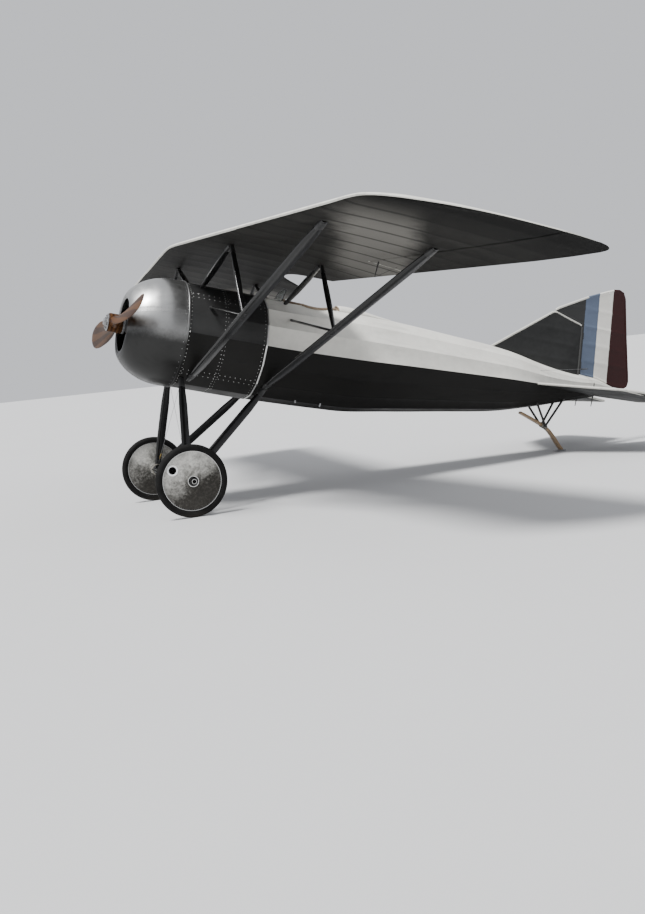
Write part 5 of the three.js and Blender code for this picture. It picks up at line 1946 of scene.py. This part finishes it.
def build_gear_stays():
    """Crossed stays of the landing gear, each with a turnbuckle near its lower end."""
    shell = Shell()
    for side in SIDES.values():
        start = np.array((0.0, side * (GEAR_APEX_Y - 0.02), 0.05))
        end = mirrored(GEAR_TOPS["front"], -side) + np.array((0.01, 0, 0))
        shell.tube([start, end], WIRE, 6)
        line = unit(end - start)
        path = [start + line * (TURNBUCKLE_START + distance) for distance, _ in TURNBUCKLE]
        shell.tube(path, [radius for _, radius in TURNBUCKLE], 10, 1)
    make_piece("gear_stays", shell, ("steel", "brass"))


def build_control_cables():
    """Cables from the fuselage to the rudder's horn, freed from any body."""
    for name, side in SIDES.items():
        start = mirrored(CABLE_EXIT, side)
        end = np.array((hinge_x(HORN_Z) + 0.006, side * 0.137, HORN_Z))
        path = [start + (end - start) * t for t in np.linspace(0, 1, 30)]
        shell = Shell().tube(path, WIRE, 6)
        cable = make_piece(f"rudder_cable_{name}", shell, ("steel",))
        unparent(cable)
        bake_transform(cable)


def unparent(piece):
    """Frees a piece from its body."""
    world = piece.matrix_world.copy()
    piece.parent = None
    piece.matrix_world = world
    del piece["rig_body"]


# Stage


def build_stage():
    build_floor()
    light_stage()
    place_camera()


def build_floor():
    mesh = bpy.data.meshes.new("floor")
    corners = [(x * FLOOR_REACH, y * FLOOR_REACH, 0) for x, y in ((-1, -1), (1, -1), (1, 1), (-1, 1))]
    mesh.from_pydata(corners, [], [(0, 1, 2, 3)])
    mesh.materials.append(floor_finish())
    floor = bpy.data.objects.new("floor", mesh)
    bpy.context.scene.collection.objects.link(floor)


def light_stage():
    chosen = settings("stage")
    world = bpy.context.scene.world or bpy.data.worlds.new("sky")
    bpy.context.scene.world = world
    world.use_nodes = True
    background = world.node_tree.nodes["Background"]
    background.inputs["Color"].default_value = (0.93, 0.95, 1, 1)
    background.inputs["Strength"].default_value = chosen.sky
    light = bpy.data.lights.new("overhead", "SUN")
    light.energy = chosen.key
    light.angle = chosen.key_angle
    lamp = bpy.data.objects.new("overhead", light)
    bpy.context.scene.collection.objects.link(lamp)
    lamp.rotation_mode = "QUATERNION"
    lamp.rotation_quaternion = (DATUM.to_3x3() @ -Vector(SUNWARD)).to_track_quat("-Z", "Y")


def place_camera():
    yaw, pitch, roll = (radians(CAMERA[turn]) for turn in ("yaw", "pitch", "roll"))
    ahead = Vector((sin(yaw) * cos(pitch), cos(yaw) * cos(pitch), -sin(pitch)))
    level = Vector((cos(yaw), -sin(yaw), 0))
    raised = level.cross(ahead)
    right = level * cos(roll) + raised * sin(roll)
    up = raised * cos(roll) - level * sin(roll)
    data = bpy.data.cameras.new("camera")
    data.sensor_width = SENSOR_WIDTH
    data.lens = FOCAL_PIXELS * SENSOR_WIDTH / max(PHOTO_SIZE)
    camera = bpy.data.objects.new("camera", data)
    turn = Matrix((right, up, -ahead)).transposed().to_4x4()
    camera.matrix_world = DATUM @ Matrix.Translation(CAMERA["place"]) @ turn
    bpy.context.scene.collection.objects.link(camera)
    bpy.context.scene.camera = camera


# Operators


class StageOperator(bpy.types.Operator):
    """Makes the floor, the light and the camera"""

    bl_idname = "monoplane.stage"
    bl_label = "Stage"

    def execute(self, context):
        build_stage()
        return {"FINISHED"}


class FuselageOperator(bpy.types.Operator):
    """Makes the sheet panels and the linen of the fuselage"""

    bl_idname = "monoplane.fuselage"
    bl_label = "Fuselage"

    def execute(self, context):
        build_forward_panels()
        build_cockpit_section()
        build_cockpit_frames()
        build_rear_covering()
        build_headrest()
        return {"FINISHED"}


class CockpitOperator(bpy.types.Operator):
    """Makes the padded rim, windscreen, seat, panel and stick"""

    bl_idname = "monoplane.cockpit"
    bl_label = "Cockpit"

    def execute(self, context):
        build_coaming()
        build_windscreen()
        build_seat()
        build_instrument_panel()
        build_control_stick()
        return {"FINISHED"}


class NoseOperator(bpy.types.Operator):
    """Makes the cowl and the rotary engine"""

    bl_idname = "monoplane.nose"
    bl_label = "Cowl and engine"

    def execute(self, context):
        build_cowl()
        build_engine()
        return {"FINISHED"}


class PropellerOperator(bpy.types.Operator):
    """Makes the wooden propeller and its hub plate"""

    bl_idname = "monoplane.propeller"
    bl_label = "Propeller"

    def execute(self, context):
        build_propeller()
        build_hub_plate()
        return {"FINISHED"}


class WingOperator(bpy.types.Operator):
    """Makes the covered wings and ailerons"""

    bl_idname = "monoplane.wing"
    bl_label = "Wings"

    def execute(self, context):
        for name, side in SIDES.items():
            build_wing(name, side)
            build_aileron(name, side)
        return {"FINISHED"}


class StrutOperator(bpy.types.Operator):
    """Makes the streamlined struts under the wings"""

    bl_idname = "monoplane.struts"
    bl_label = "Wing struts"

    def execute(self, context):
        for name, side in SIDES.items():
            build_struts(name, side)
        return {"FINISHED"}


class GearOperator(bpy.types.Operator):
    """Makes the legs, axle, spreader bars and shock cords"""

    bl_idname = "monoplane.gear"
    bl_label = "Landing gear"

    def execute(self, context):
        for name, side in SIDES.items():
            build_legs(name, side)
            build_shock_cord(name, side)
        build_spreaders()
        build_axle()
        return {"FINISHED"}


class WheelOperator(bpy.types.Operator):
    """Makes the tyres and disc-covered wheels"""

    bl_idname = "monoplane.wheels"
    bl_label = "Wheels"

    def execute(self, context):
        for name, side in SIDES.items():
            build_tyre(name, side)
            build_wheel_disc(name, side)
        return {"FINISHED"}


class TailOperator(bpy.types.Operator):
    """Makes the fin, rudder, tailplane and elevator"""

    bl_idname = "monoplane.tail"
    bl_label = "Tail surfaces"

    def execute(self, context):
        build_fin()
        build_rudder()
        for name, side in SIDES.items():
            build_stabilizer(name, side)
        build_elevator()
        return {"FINISHED"}


class SkidOperator(bpy.types.Operator):
    """Makes the tail skid and its frame"""

    bl_idname = "monoplane.skid"
    bl_label = "Tail skid"

    def execute(self, context):
        build_tail_skid()
        return {"FINISHED"}


class RiggingOperator(bpy.types.Operator):
    """Makes the stays and control cables"""

    bl_idname = "monoplane.rigging"
    bl_label = "Rigging"

    def execute(self, context):
        build_gear_stays()
        build_control_cables()
        return {"FINISHED"}


OPERATORS = (
    StageOperator,
    FuselageOperator,
    CockpitOperator,
    NoseOperator,
    PropellerOperator,
    WingOperator,
    StrutOperator,
    GearOperator,
    WheelOperator,
    TailOperator,
    SkidOperator,
    RiggingOperator,
)


class MonoplanePanel(bpy.types.Panel):
    """Lists the pieces and their settings"""

    bl_idname = "VIEW3D_PT_monoplane"
    bl_label = "Parasol Monoplane"
    bl_space_type = "VIEW_3D"
    bl_region_type = "UI"
    bl_category = "Monoplane"

    def draw(self, context):
        for name, group in SETTINGS.items():
            box = self.layout.box()
            box.label(text=name.capitalize())
            for key in group.__annotations__:
                box.prop(settings(name), key)
        for operator in OPERATORS:
            self.layout.operator(operator.bl_idname)


def register():
    for group in SETTINGS.values():
        bpy.utils.register_class(group)
    for name, group in SETTINGS.items():
        setattr(bpy.types.Scene, f"monoplane_{name}", PointerProperty(type=group))
    for made in (*OPERATORS, MonoplanePanel):
        bpy.utils.register_class(made)


def unregister():
    for made in reversed((*OPERATORS, MonoplanePanel)):
        bpy.utils.unregister_class(made)
    for name, group in reversed(SETTINGS.items()):
        delattr(bpy.types.Scene, f"monoplane_{name}")
        bpy.utils.unregister_class(group)


def main():
    register()
    for operator in OPERATORS:
        space, name = operator.bl_idname.split(".")
        getattr(getattr(bpy.ops, space), name)()


if __name__ == "__main__":
    main()
